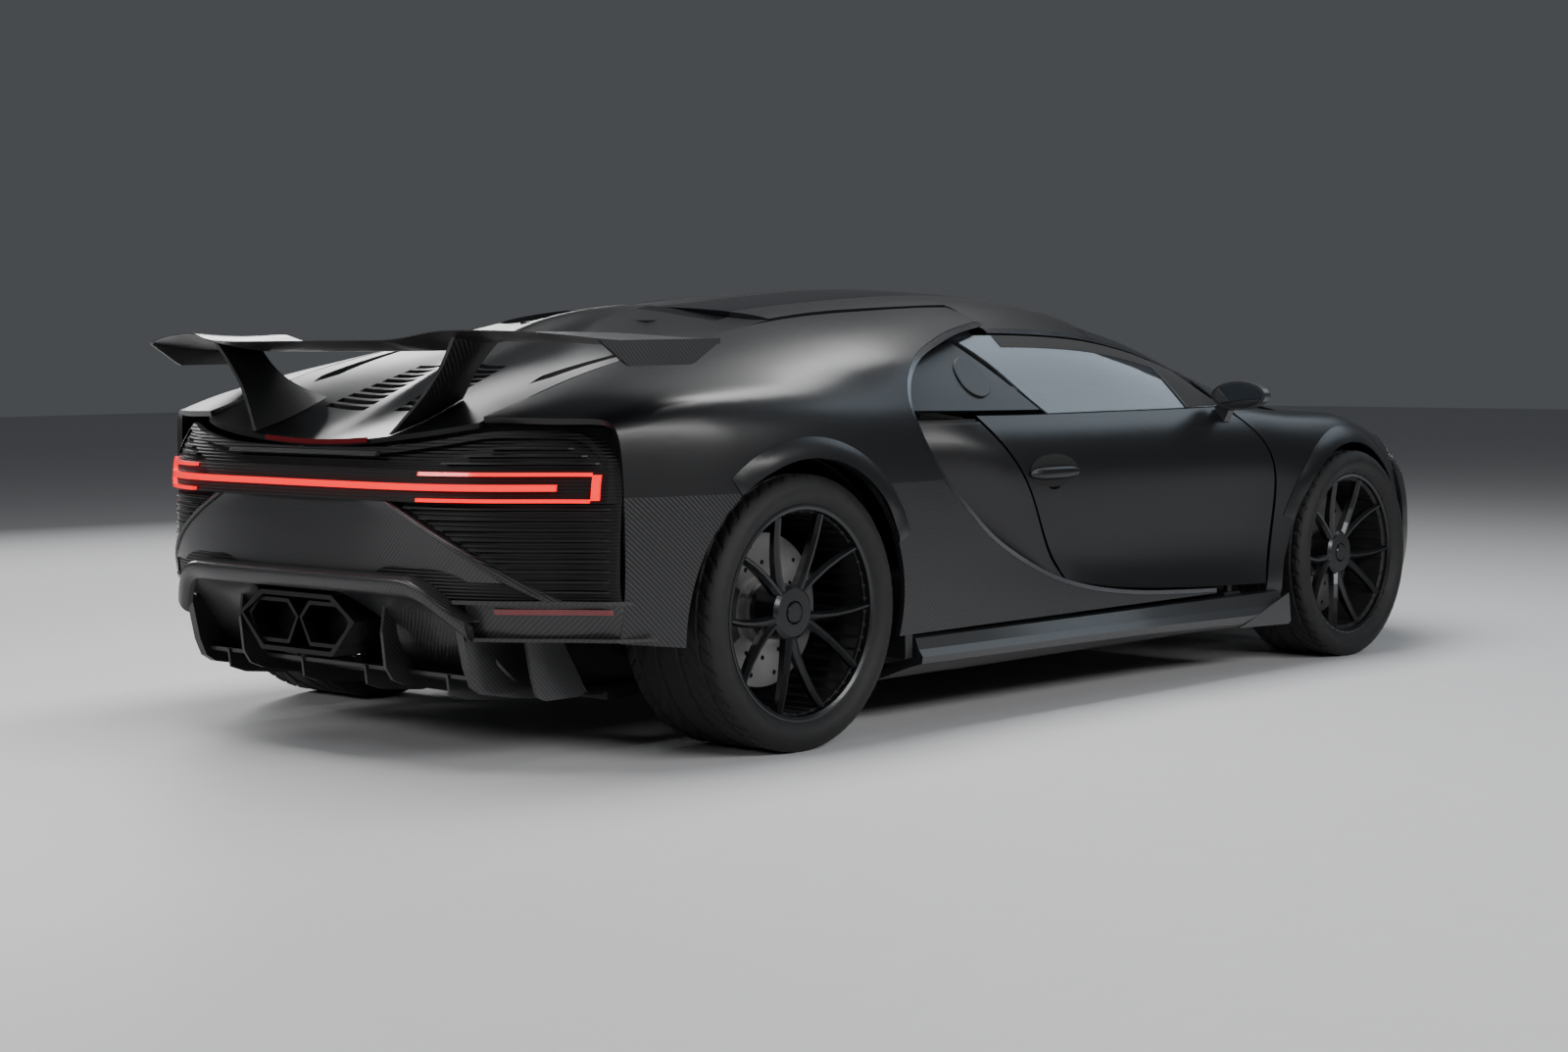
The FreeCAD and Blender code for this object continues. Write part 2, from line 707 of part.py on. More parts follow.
def make_fender(side):
    """Front fender skin from the door to the lamp, with its wheel arch cut."""
    shape = patch(cabin, side, place_fender, 15, 15, 9.0)
    radius = size("arch_front_radius")
    arch = tube(FRONT_X, side * 700, FRONT_R, radius, 500, Vector(0, side, 0))
    foot_cut = prism([Vector(FRONT_X + x, side * 700, FRONT_R + z) for x, z in
                      ((radius + 40, -240), (radius + 40, -40), (radius + 24, 5), (radius - 5, 60),
                       (-radius + 5, 60), (-radius - 16, 5), (-radius - 24, -50),
                       (-radius - 24, -240))], Vector(0, side * 500, 0))
    pillar_gap = box(560, 996, side * 400, side * 886, 740, 1100)
    foot = box(868, 898, side * 800, side * 978, 150 + SEAT, 200)
    return fused([shape.cut([arch, foot_cut, pillar_gap]), foot])


fender = make_fender(RIGHT)
node("fender_right", fender)
node("fender_left", mirrored(fender))


def make_flares(side):
    """Lips of the rear and front wheel arches on one side."""
    rear = flare(grid_of(haunch, side, place_haunch, 23, 15), side, REAR_X, REAR_R,
                 size("arch_rear_radius") + 1.0, size("flare_width"), 13.0, 24.0, 128.0)
    front = flare(grid_of(cabin, side, place_fender, 15, 15), side, FRONT_X, FRONT_R,
                  size("arch_front_radius") + 1.0, size("flare_width"), 11.0, 18.0, 160.0)
    return Part.makeCompound([rear, front])


node("arch_flares", both(make_flares))

NOSE_REACH = fair([125, 200, 300, 420, 520, 580, 620, 650, 672, 700, 760],
                  [930, 948, 962, 970, 968, 957, 938, 910, 868, 800, 600])
NOSE_WIDE = fair([125, 180, 262, 355, 475, 590, 672, 720],
                 [841, 949, 986, 998, 994, 970, 925, 868])


def nose_point(angle, z):
    """Point of the nose at a plan angle (0 ahead, 90 abeam) and height."""
    c, s = math.cos(math.radians(angle)), math.sin(math.radians(angle))
    x = FRONT_X + NOSE_REACH(z) * abs(c) ** 0.8
    y = NOSE_WIDE(z) * math.copysign(abs(s) ** 0.8, s)
    return Vector(x, y, z)


def meeting_height(angle):
    """Height at which the nose face runs into the upper skin."""
    low, high = 560.0, 720.0
    for _ in range(24):
        z = 0.5 * (low + high)
        p = nose_point(angle, z)
        line = cabin.line_at_width(p.x, abs(p.y))
        if cabin.at(p.x, line)[1] > z:
            low = z
        else:
            high = z
    return 0.5 * (low + high)


NOSE_RIM = [(float(a), meeting_height(float(a))) for a in range(0, 63, 6)] + [(70.0, 600.0)]
nose_rim = along(NOSE_RIM)


def nose_top(angle):
    """Height of the nose's upper edge at an angle, alike on both sides."""
    return nose_rim(abs(angle))


nose_edge = along([(nose_point(a / 2.0, nose_top(a / 2.0)).y, nose_point(a / 2.0, nose_top(a / 2.0)).x)
                   for a in range(0, 130, 8)])


def make_lid():
    """Front lid over the luggage space, with its hinge knuckles."""
    def place(u, v):
        x = mix(1086.0, 2150.0, u)
        for _ in range(6):
            edge = cabin.line_at_width(x, hood_edge(x))
            line = mix(edge, 2 * cabin.last - edge, v)
            y = cabin.at(x, min(line, 2 * cabin.last - line))[0]
            x = mix(1086.0, nose_edge(y) - 9.0, u)
        return x, line
    parts = [patch(cabin, RIGHT, place, 11, 9, 12.0)]
    for side in (RIGHT, LEFT):
        hx, hz = size("lid_hinge_x"), size("lid_hinge_z")
        parts.append(tube(hx, side * 320 - 16, hz, 10, 32, Vector(0, 1, 0)))
        parts.append(box(hx - 8, hx + 8, side * 304, side * 336, hz, 846))
    return fused(parts)


node("front_lid", make_lid())

def make_bumper():
    """Front bumper wrapped from arch to arch, with its three air openings."""
    nu, nv = 29, 10
    outer = []
    for i in range(nu):
        a = mix(-69.5, 69.5, i / (nu - 1.0))
        outer.append([nose_point(a, mix(150, nose_top(a), j / (nv - 1.0))) for j in range(nv)])
    shape = slab(outer, inset(outer, 9.0, Vector(150, 0, 350)))
    cuts = []
    arch_pts = [Vector(2400, y, z) for y, z in
                ((-205, 235), (205, 235), (232, 330), (205, 470), (120, 560), (0, 590),
                 (-120, 560), (-205, 470), (-232, 330))]
    cuts.append(prism(arch_pts, Vector(-500, 0, 0)))
    for side in (RIGHT, LEFT):
        pts = [Vector(2400, side * y, z) for y, z in
               ((330, 205), (690, 215), (770, 330), (700, 430), (400, 400), (310, 300))]
        cuts.append(prism(pts, Vector(-700, 0, 0)))
    for cut in cuts:
        shape = shape.cut(cut)
    arms = [box(CRASH_BAR_X + SEAT, 2243, side * 255, side * 285, 330, 380)
            for side in (RIGHT, LEFT)]
    return fused([shape] + arms)


CRASH_BAR_X = 2110.0
node("front_bumper", make_bumper())


def make_grille():
    """Mesh panels that back the three front openings."""
    def panel(a0, a1, z0, z1, n):
        outer = [[nose_point(mix(a0, a1, i / (n - 1.0)), mix(z0, z1, j / 4.0)) for j in range(5)]
                 for i in range(n)]
        near = inset(outer, 26.0, Vector(150, 0, 350))
        far = inset(outer, 31.0, Vector(150, 0, 350))
        return slab(near, far)
    middle = fused([panel(-10.1, 10.1, 222, 592, 9),
                    box(CRASH_BAR_X + SEAT, 2238, -20, 20, 340, 380)])
    ends = [fused([panel(side * 19.5, side * 53, 192, 444, 9),
                   box(CRASH_BAR_X + SEAT, 2176, side * 440, side * 470, 340, 380)])
            for side in (RIGHT, LEFT)]
    return Part.makeCompound([middle] + ends)


node("front_grille", make_grille())


LAMP_LINE = cabin.line_at_width(1945.0, hood_edge(1945.0) + GAP + 3.0)
LAMP_ANGLE = 27.5


def make_lamp(side):
    """Slim headlamp lens between the fender, the lid and the bumper."""
    outer = []
    n, m = 11, 4
    for i in range(n):
        t = i / (n - 1.0)
        line = mix(LAMP_LINE, 6.15, t)
        angle = mix(LAMP_ANGLE, 60.0, t)
        back = cabin.point(fender_front(line) + GAP, line, side)
        front = nose_point(angle, nose_top(angle))
        front = Vector(front.x, side * abs(front.y), front.z + 0.9)
        front = front + (back - front).normalize() * 12.0
        row = []
        for j in range(m):
            k = j / (m - 1.0)
            p = back + (front - back) * k
            row.append(p + Vector(2.0, side * 4.0, 6.0) * (4.0 * k * (1.0 - k)))
        outer.append(row)
    inner = [[p + Vector(-14.0 * j / (m - 1.0), side * 1.0, -12) for j, p in enumerate(row)]
             for row in outer]
    lens = slab(outer, inner)
    top = cabin.at(1930, cabin.line_at_width(1930, 590))[1] - 9.0
    arm = prism([Vector(1915, side * y, z) for y, z in
                 ((400 + SEAT, 290), (400 + SEAT, 330), (575, top), (605, top), (440, 290))],
                Vector(24, 0, 0))
    return fused([lens, arm])


node("headlamps", both(make_lamp))


def make_splitter():
    """Thin blade under the nose with raised ends."""
    outer, inner = [], []
    n = 25
    for i in range(n):
        a = mix(-66, 66, i / (n - 1.0))
        lip = nose_point(a, 150)
        c = math.cos(math.radians(a))
        reach = mix(34.0, 10.0, c)
        lip_out = Vector(lip.x + 20.0 * c + 2.0, lip.y * (1.0 + reach / 1000.0), 0)
        back = Vector(1760, lip.y * 0.62, 0)
        outer.append([Vector(mix(back.x, lip_out.x, k), mix(back.y, lip_out.y, k), 149.6)
                      for k in (0.0, 0.5, 0.85, 1.0)])
        inner.append([Vector(p.x, p.y, p.z - t) for p, t in zip(outer[-1], (22, 22, 17, 9))])
    return slab(outer, inner)


node("splitter", make_splitter())


def make_cowl():
    """Sunk tray between the screen and the front lid."""
    outer = []
    for i in range(4):
        x = mix(1016, 1082, i / 3.0)
        edge = cabin.line_at_width(x, 630.0)
        row = []
        for j in range(11):
            p = cabin.point(x, mix(edge, 2 * cabin.last - edge, j / 10.0), RIGHT)
            row.append(p + Vector(0, 0, -mix(40, 104, i / 3.0)))
        outer.append(row)
    inner = [[p + Vector(0, 0, -8) for p in row] for row in outer]
    leg = box(985 + SEAT, 1030, -300, 300, 700, 837)
    return fused([slab(outer, inner), leg])


node("cowl", make_cowl())

# Dividing trim and skirts
def make_c_trim(side):
    """Bright strip that follows the dividing line from the roof to the sill."""
    near, far = c_curve(1.0), c_curve(13.0, True)
    bridge = Part.makeLine(near.Vertexes[-1].Point, far.Vertexes[0].Point)
    shape = haunch_sheet(side, SKIN).common(side_prism(side, [near, bridge, far], []))

    def place(u, v):
        x = mix(-286.0, 880.0, u)
        low = GLASS_TOP(x) + 0.05
        return x, mix(low, low + RAIL - 0.006, v)
    rail = patch(cabin, side, place, 17, 4, SKIN)
    return Part.makeCompound([max(shape.Solids, key=lambda q: q.Volume), rail])


node("c_trim", both(make_c_trim))

SKIRT_TOP = along([(-975, 254), (-400, 252), (300, 250), (860, 247)])
SKIRT_LOW = along([(-975, 176), (20, 168), (592, 152), (860, 146)])


def make_skirt(side):
    """Side skirt: a ridged blade between the wheels, under the door, with a fin at its front."""
    sections = []
    for i in range(8):
        x = mix(-952, 880, i / 7.0)
        top, low = SKIRT_TOP(x), SKIRT_LOW(x)
        swell = 9.0 * math.sin(math.pi * i / 7.0)
        ring = [(944, top), (974, top - 3), (986 + swell, mix(top, low, 0.42)),
                (1000 + swell, mix(top, low, 0.66)), (996 + swell, mix(top, low, 0.9)),
                (950, low - 6), (FLOOR_HALF + SEAT, 127), (FLOOR_HALF + SEAT, 146),
                (936, low + 14), (974, mix(top, low, 0.62)), (956, top - 14), (944, top - 10)]
        points = [Vector(x, side * y, z) for y, z in ring]
        sections.append(Part.makePolygon(points + [points[0]]))
    blade = Part.makeLoft(sections, True, True)
    fin = prism([Vector(x, side * 996, z) for x, z in
                 ((892, 240), (640, 160), (600, 150), (892, 140), (904, 150))], Vector(0, side * 7, 0))
    return fused([blade, fin])


node("skirts", both(make_skirt))

# Deck and tail
DECK_HALF = 553.0
DECK_EDGE = along([(-1068, 1106), (-1150, 1090), (-1409, 1044), (-1750, 974), (-1950, 914),
                   (-2080, 866), (-2210, 822)])
DECK_MID = along([(-1068, 1156), (-1250, 1122), (-1424, 1078), (-1536, 1040), (-1750, 962),
                  (-1950, 882), (-2050, 838), (-2210, 792)])
SPINE = along([(-1068, 0), (-1250, 20), (-1424, 32), (-1700, 32), (-1960, 8), (-2210, 0)])
DECK_BACK = along([(0, -2188), (300, -2180), (450, -2160), (553, -2118)])


def deck_z(x, y):
    """Height of the engine cover."""
    t = min(abs(y) / DECK_HALF, 1.0)
    blend = t * t * (3 - 2 * t)
    return mix(DECK_MID(x), DECK_EDGE(x), blend) + SPINE(x) * math.exp(-(y / 52.0) ** 2)


def make_deck():
    """Engine cover between the quarters with its louvre openings."""
    nu, nv = 17, 23
    outer = []
    for i in range(nu):
        row = []
        for j in range(nv):
            t = 2.0 * j / (nv - 1.0) - 1.0
            y = DECK_HALF * math.copysign(abs(t) ** 1.15, t)
            x = mix(-1066, DECK_BACK(abs(y)), i / (nu - 1.0))
            row.append(Vector(x, y, deck_z(x, y)))
        outer.append(row)
    shape = slab(outer, [[p + Vector(0, 0, -13) for p in row] for row in outer])
    cuts = []
    for k in range(9):
        x = -1968 + 34 * k
        for side in (RIGHT, LEFT):
            cuts.append(box(x - 11, x + 11, side * 62, side * (225 - 6 * k), 700, 1200))
    for side in (RIGHT, LEFT):
        pts = [Vector(x, side * y, 700) for x, y in
               ((-1345, 505), (-1440, 512), (-1800, 470), (-1850, 440), (-1780, 415))]
        cuts.append(prism(pts, Vector(0, 0, 600)))
    shape = shape.cut(cuts)
    legs = [box(-1240, -1200, side * 180, side * 260, ENGINE_TOP + SEAT, 1108)
            for side in (RIGHT, LEFT)]
    return fused([shape] + legs)


ENGINE_TOP = 820.0
node("engine_cover", make_deck())

TAIL_X = along([(140, -2150), (250, -2205), (360, -2236), (460, -2262), (600, -2258),
                (668, -2252), (720, -2246), (800, -2215), (870, -2165)])
TAIL_WRAP = along([(0, 0), (300, 4), (470, 22), (600, 66), (780, 190), (895, 268), (960, 370)])


def tail_point(y, z, out=0.0):
    """Point of the tail at half width y and height z, pushed out to the rear."""
    slope = (TAIL_WRAP(abs(y) + 5) - TAIL_WRAP(max(abs(y) - 5, 0))) / 10.0
    k = 1.0 / math.hypot(1.0, slope)
    return Vector(TAIL_X(z) + TAIL_WRAP(abs(y)) - out * k,
                  y + math.copysign(out * k * slope, y), z)


TAIL_TOP = along([(0, 786), (300, 792), (480, 812), (640, 834), (760, 832), (840, 800), (884, 740)])


def tail_band(y0, y1, zlow, zhigh, n, m, out_near, out_far):
    """Curved band of the tail between two height rules."""
    near, far = [], []
    for i in range(n):
        y = mix(y0, y1, i / (n - 1.0))
        zs = [mix(zlow(abs(y)), zhigh(abs(y)), j / (m - 1.0)) for j in range(m)]
        near.append([tail_point(y, z, out_near) for z in zs])
        far.append([tail_point(y, z, out_far) for z in zs])
    return slab(near, far, True)


LEDGE_Z = 424.0
SHEET_OUT = 26.0
LAMP_Z = 698.0
FRAME_TOP = (318.0, 668.0)
FRAME_FOOT = (690.0, 457.0)
CRASH_REAR_X = 2120.0


def frame_width(z):
    """Half width of the diagonal frame's middle line at a height."""
    t = (FRAME_TOP[1] - z) / (FRAME_TOP[1] - FRAME_FOOT[1])
    return mix(FRAME_TOP[0], FRAME_FOOT[0], t) + 26.0 * math.sin(math.pi * max(0.0, min(t, 1.0)))


def slat(side, z, y_in, y_out):
    """Thin blade of the mesh fields, standing ahead of the recessed sheet."""
    return tail_band(side * y_in, side * y_out, lambda y: z, lambda y: z + 3.5, 5, 2,
                     -8.0, -SHEET_OUT - 3.0)


def make_tail():
    """Dark tail: recessed sheet with the lamp's beam and the rim under the deck before it."""
    ahead = -SHEET_OUT - 4.0
    beam = tail_band(-877, 877, lambda y: LAMP_Z - 38, lambda y: LAMP_Z + 42, 27, 4, 0.0, ahead)
    rims = [tail_band(side * 0.5 * SEAT, side * 875, lambda y: TAIL_TOP(y) - 16, TAIL_TOP, 15, 3,
                      0.0, ahead) for side in (RIGHT, LEFT)]
    sheet = tail_band(-879, 879, lambda y: LEDGE_Z + SEAT, lambda y: TAIL_TOP(y) - 6.0, 27, 7,
                      -SHEET_OUT, -SHEET_OUT - 8.0)
    arms = [box(-2205, -(CRASH_REAR_X + SEAT), side * 470, side * 500, 560, 600)
            for side in (RIGHT, LEFT)]
    return Part.makeCompound([fused([sheet] + arms)] + trimmed(beam, [sheet])
                             + trimmed(Part.makeCompound(rims), [sheet]))


def make_blades(panel):
    """Blades of the mesh fields beside the centre panel and over the lamp."""
    blades = []
    for side in (RIGHT, LEFT):
        for k in range(int(size("lower_blades"))):
            z = mix(LEDGE_Z + 20.0, LAMP_Z - 54.0, k / (size("lower_blades") - 1.0))
            blades.append(slat(side, z, frame_width(z) + 28.0, 868.0))
        for k in range(int(size("upper_blades"))):
            t = k / (size("upper_blades") - 1.0)
            z = mix(LAMP_Z + 56.0, LAMP_Z + 92.0, t)
            blades.append(slat(side, z, mix(500.0, 610.0, t), mix(838.0, 770.0, t)))
    return Part.makeCompound(trimmed(Part.makeCompound(blades), panel.Solids[:1]))


tail_item = node("tail_panel", make_tail())
node("tail_blades", make_blades(tail_item.Shape))


def make_tail_light():
    """Full-width light bar with a hook outline at each end."""
    parts = [tail_band(-770, 770, lambda y: LAMP_Z - 8, lambda y: LAMP_Z + 8, 27, 3, 14.0, -2.0)]
    for side in (RIGHT, LEFT):
        for z in (LAMP_Z + 28, LAMP_Z - 36):
            parts.append(tail_band(side * 455, side * 842, lambda y: z, lambda y: z + 9, 9, 3,
                                   12.0, -2.0))
        parts.append(tail_band(side * 846, side * 862, lambda y: LAMP_Z - 30,
                               lambda y: LAMP_Z + 32, 3, 5, 12.0, -2.0))
    return laid(parts, tail_item.Shape.Solids)


node("tail_light", make_tail_light())


def make_red_lenses():
    """Third brake strip and the low reflectors."""
    strip = slab([[Vector(-2192 + 0.4 * abs(y) / 40, y, z + deck_z(-2184, y)) for z in (-9, 4)]
                  for y in (-208, -104, 0, 104, 208)],
                 [[Vector(-2188 - SEAT + 0.4 * abs(y) / 40, y, z + deck_z(-2184, y))
                   for z in (-9, 4)] for y in (-208, -104, 0, 104, 208)])
    low = [tail_band(side * 625, side * 866, lambda y: 389.0, lambda y: 403.0, 7, 3, -20.0, -29.1)
           for side in (RIGHT, LEFT)]
    return Part.makeCompound([strip] + low)


node("red_lenses", make_red_lenses())


def hexagon(cy, cz, w, h, x, shift=0.0):
    """Irregular six-sided outlet outline."""
    return [Vector(x, cy + a * w, cz + b * h) for a, b in
            ((-1.0, 0.0 + shift), (-0.62, -1.0), (0.62, -1.0), (1.0, 0.0 + shift), (0.62, 1.0),
             (-0.62, 1.0))]


def tail_slab(y0, y1, n, profile, thick, drop=lambda y: 0.0):
    """Sheet along the tail; profile lists (out, height), lowered by drop of the half width."""
    near, far = [], []
    for i in range(n):
        y = mix(y0, y1, i / (n - 1.0))
        near.append([tail_point(y, z - drop(abs(y)), out) for out, z in profile])
        far.append([tail_point(y, z - 3 - drop(abs(y)), out - thick) for out, z in profile])
    return slab(near, far)


def make_diagonal(side):
    """Diagonal frame from the lamp beam down to the ledge, beside the centre panel."""
    near, far = [], []
    for i in range(7):
        z = mix(FRAME_TOP[1] - 9.0, LEDGE_Z - 3.0, i / 6.0)
        y, half = frame_width(z), mix(20.0, 15.0, i / 6.0)
        near.append([tail_point(side * (y - half), z, -14.0), tail_point(side * (y - half * 0.5), z, 7.0),
                     tail_point(side * (y + half * 0.6), z, 7.0), tail_point(side * (y + half), z, -6.0)])
        far.append([tail_point(side * (y + half * k), z, -SHEET_OUT - 3.0)
                    for k in (-1.0, -0.4, 0.4, 1.0)])
    return slab(near, far)


def make_centre_panel():
    """Hollowed panel between the diagonal frames."""
    near, far = [], []
    steps = (-1.0, -0.8, -0.4, 0.0, 0.4, 0.8, 1.0)
    for i in range(6):
        z = mix(FRAME_TOP[1] - 9.0, LEDGE_Z + 44.0, i / 5.0)
        edge = frame_width(z) - 12.0
        near.append([tail_point(k * edge, z, -8.0 - 15.0 * (1.0 - k * k)) for k in steps])
        far.append([tail_point(k * edge, z, -SHEET_OUT - 3.0) for k in steps])
    return slab(near, far)


SHOULDER_DROP = along([(0, 0), (430, 0), (470, 12), (520, 56), (565, 100), (600, 118)])
LEG_Y = 540.0
LEG_LINE = [(-2200, 380), (-2150, 352), (-2020, 336), (-1990, 300), (-1935, 158),
            (-2020, 166), (-2120, 184), (-2152, 204), (-2172, 250)]
by_side = {RIGHT: [n for n in NODES if n.Label == "quarter_right"][0],
           LEFT: [n for n in NODES if n.Label == "quarter_left"][0]}
FIN_LINE = [(-2075, 322), (-1960, 322), (-1872, 176), (-1900, 166), (-2010, 166), (-2040, 180),
            (-2056, 230)]


def make_rear_bumper():
    """Lower tail: shoulder, hollow face round the outlets, legs, fins, ledges and framed panel."""
    shoulder = tail_slab(-578, 578, 25, [(-20, 480), (10, 480), (26, 477), (31, 468), (29, 440),
                                         (14, 430)], 12.0, SHOULDER_DROP)
    face = tail_slab(-536, 536, 17, [(20, 434), (-16, 418), (-44, 370), (-66, 320), (-92, 270),
                                     (-120, 236)], 12.0, lambda y: 0.35 * SHOULDER_DROP(y))
    hole = prism(hexagon(0, 338, 256, 98, -2400, 0.2), Vector(400, 0, 0))
    parts = [shoulder, face.cut(hole)]
    for side in (RIGHT, LEFT):
        parts.append(prism([Vector(x, side * LEG_Y, z) for x, z in LEG_LINE],
                           Vector(0, side * 26, 0)))
        ledges = [tail_band(side * 550, side * 878, lambda y: LEDGE_Z - 10, lambda y: LEDGE_Z,
                            9, 2, 3.0, -60.0),
                  tail_band(side * 550, side * 878, lambda y: 322.0, lambda y: 331.0,
                            9, 2, 6.0, -100.0),
                  tail_band(side * 550, side * 878, lambda y: 326.0, lambda y: LEDGE_Z - 4,
                            9, 2, -30.0, -38.0)]
        house = by_side[side].Shape.Solids
        parts += trimmed(Part.makeCompound(ledges), house)
        parts.append(prism([Vector(x, side * 655, z) for x, z in FIN_LINE],
                           Vector(0, side * 10, 0)))
        parts.append(box(-2176, -(CRASH_REAR_X + SEAT), side * 405, side * 440, 352, 400))
        parts.append(make_diagonal(side))
    parts.append(make_centre_panel())
    return laid(parts, tail_item.Shape.Solids)


node("rear_bumper", make_rear_bumper())


def make_diffuser():
    """Rising floor behind the rear axle with upright fins."""
    rise = along([(-1700, 149), (-1850, 166), (-2050, 204), (-2190, 244)])
    half = LEG_Y - 4.0
    outer = [[Vector(x, y, rise(x)) for y in (-half, -0.5 * half, 0, 0.5 * half, half)]
             for x in (-1700 - SEAT, -1800, -1900, -2000, -2080, -2140)]
    inner = [[p + Vector(0, 0, -10) for p in row] for row in outer]
    parts = [slab(outer, inner)]
    for y in (-292, 292):
        pts = [(-1860, 158), (-2120, 236), (-2168, 300), (-2186, 380), (-2212, 392), (-2222, 330),
               (-2212, 240), (-2190, 206), (-2150, 190), (-1960, 150)]
        parts.append(prism([Vector(x, y - 5, z) for x, z in pts], Vector(0, 10, 0)))
    for y in (-450, -130, 130, 450):
        pts = [(-1860, 158), (-2130, 232), (-2146, 226), (-2140, 178), (-2090, 160), (-1960, 146)]
        parts.append(prism([Vector(x, y - 4, z) for x, z in pts], Vector(0, 8, 0)))
    return fused(parts)


node("diffuser", make_diffuser())


def make_exhaust():
    """Frame with two six-sided tail pipes and the pipe stub ahead of them."""
    frame = prism(hexagon(0, 338, 236, 78, -2262, 0.2), Vector(110, 0, 0))
    hollow = prism(hexagon(0, 338, 222, 66, -2300, 0.2), Vector(120, 0, 0))
    parts = [frame.cut(hollow)]
    for side in (RIGHT, LEFT):
        pipe = prism(hexagon(side * 106, 338, 104, 58, -2252, 0.25), Vector(190, 0, 0))
        bore = prism(hexagon(side * 106, 338, 94, 48, -2300, 0.25), Vector(200, 0, 0))
        parts.append(pipe.cut(bore))
    web = box(-2215, -2205, -228, 228, 322, 354)
    parts.append(web.cut(prism(hexagon(-106, 338, 96, 50, -2300, 0.25), Vector(200, 0, 0)))
                 .cut(prism(hexagon(106, 338, 96, 50, -2300, 0.25), Vector(200, 0, 0))))
    stub = box(-2075, -1560, -60, 60, 300, 376)
    parts.append(stub)
    foot = box(-1620, -1560, -60, 60, FLOOR_TOP + SEAT, 300)
    parts.append(foot)
    return fused(parts)


node("exhaust", make_exhaust())

# Wing
WING_LEAD = along([(0, -1925), (372, -1922), (482, -1900), (700, -1820), (860, -1700), (915, -1640)])
WING_TRAIL = along([(0, -2237), (372, -2237), (482, -2205), (700, -2130), (860, -2072),
                    (915, -2054)])
WING_Z = along([(0, 1050), (372, 1050), (430, 1060), (482, 1074), (700, 1070), (915, 1050)])


def wing_face(x, y, upper):
    """Height of the wing's upper or lower face."""
    x0, x1 = WING_LEAD(abs(y)), WING_TRAIL(abs(y))
    t = min(max((x - x0) / (x1 - x0), 0.0), 1.0)
    camber = -10.0 * math.sin(math.pi * t) + 6.0 * t
    body = 11.0 * math.sin(math.pi * min(1.0, t + 0.08)) ** 0.7 + 1.5
    return WING_Z(abs(y)) + camber + (0.35 if upper else -1.25) * body


def make_wing():
    """Fixed rear wing with slanted end plates."""
    top, low = [], []
    n, m = 27, 7
    half = size("wing_half_span")
    for i in range(n):
        y = mix(-half, half, i / (n - 1.0))
        x0, x1 = WING_LEAD(abs(y)), WING_TRAIL(abs(y))
        top_row, low_row = [], []
        for j in range(m):
            x = mix(x0, x1, j / (m - 1.0))
            top_row.append(Vector(x, y, wing_face(x, y, True)))
            low_row.append(Vector(x, y, wing_face(x, y, False)))
        top.append(top_row)
        low.append(low_row)
    parts = [slab(top, low)]
    for side in (RIGHT, LEFT):
        pts = [(-2056, 1052), (-1640, 1056), (-1655, 1040), (-1728, 998), (-1745, 992),
               (-1955, 990), (-1972, 998)]
        parts.append(prism([Vector(x, side * (half - 8), z) for x, z in pts],
                           Vector(0, side * 8, 0)))
    return fused(parts)


node("wing", make_wing())


def make_strut(side, wing_solid):
    """Leaning blade that carries the wing."""
    outer, inner = [], []
    n = 7
    for i in range(n):
        t = i / (n - 1.0)
        y = mix(278, 490, t ** 0.9)
        x_rear = mix(-2172, -2144, t) + 26.0 * math.sin(math.pi * t)
        x_front = mix(-1935, -2000, t) - 30.0 * math.sin(math.pi * t)
        row_o, row_i = [], []
        for j in range(5):
            k = j / 4.0
            x = mix(x_rear, x_front, k)
            thick = 15.0 * math.sin(math.pi * min(max(k, 0.06), 0.94)) ** 0.5
            foot = deck_z(x, side * 278) + SEAT + 1.9
            top = min(wing_face(x, 490 + d, False) for d in (-16, 0, 16)) - SEAT - 0.4
            z = mix(foot, top, t)
            row_o.append(Vector(x, side * (y + thick), z))
            row_i.append(Vector(x, side * (y - thick), z))
        outer.append(row_o)
        inner.append(row_i)
    blade = slab(outer, inner).cut(wing_solid)
    blade = max(blade.Solids, key=lambda q: q.Volume)
    blade.translate(Vector(0, 0, -SEAT))
    return blade


def make_cradle():
    """Lip that joins the feet of the struts under the third lamp."""
    near = [[tail_point(y, z, 13.0) for z in (770, 781)] for y in (-300, -200, -100, 0, 100, 200, 300)]
    far = [[tail_point(y, z, SEAT) for z in (770, 781)] for y in (-300, -200, -100, 0, 100, 200, 300)]
    return slab(near, far, True)


wing_solid = NODES[-1].Shape
node("wing_struts", Part.makeCompound([make_strut(side, wing_solid) for side in (RIGHT, LEFT)]
                                      + [make_cradle()]))

# Mirrors
def make_mirror(side, door_solid):
    """Door mirror on its arm, seated on the door's shoulder."""
    cx, cy, cz = 620.0, 1000.0, 872.0
    front, back = [], []
    for i in range(9):
        u = i / 4.0 - 1.0
        front_row, back_row = [], []
        for j in range(7):
            v = j / 3.0 - 1.0
            a, b = u * math.sqrt(1 - v * v / 2), v * math.sqrt(1 - u * u / 2)
            r = min(a * a + b * b, 1.0)
            y, z = cy + 98.0 * a, cz + 44.0 * b
            front_row.append(Vector(cx + 74.0 * math.sqrt(1.0 - r), side * y, z))
            back_row.append(Vector(cx - 30.0, side * y, z))
        front.append(front_row)
        back.append(back_row)
    head = slab(front, back)
    arm = prism([Vector(cx - 6, side * y, z) for y, z in
                 ((900, 800), (900, 838), (950, 852), (975, 858), (985, 846), (950, 824),
                  (935, 790))], Vector(32, 0, 0))
    arm = arm.cut(door_solid)
    arm = max(arm.Solids, key=lambda q: q.CenterOfMass.z)
    arm.translate(Vector(0, side * SEAT, SEAT))
    return fused([head, arm])


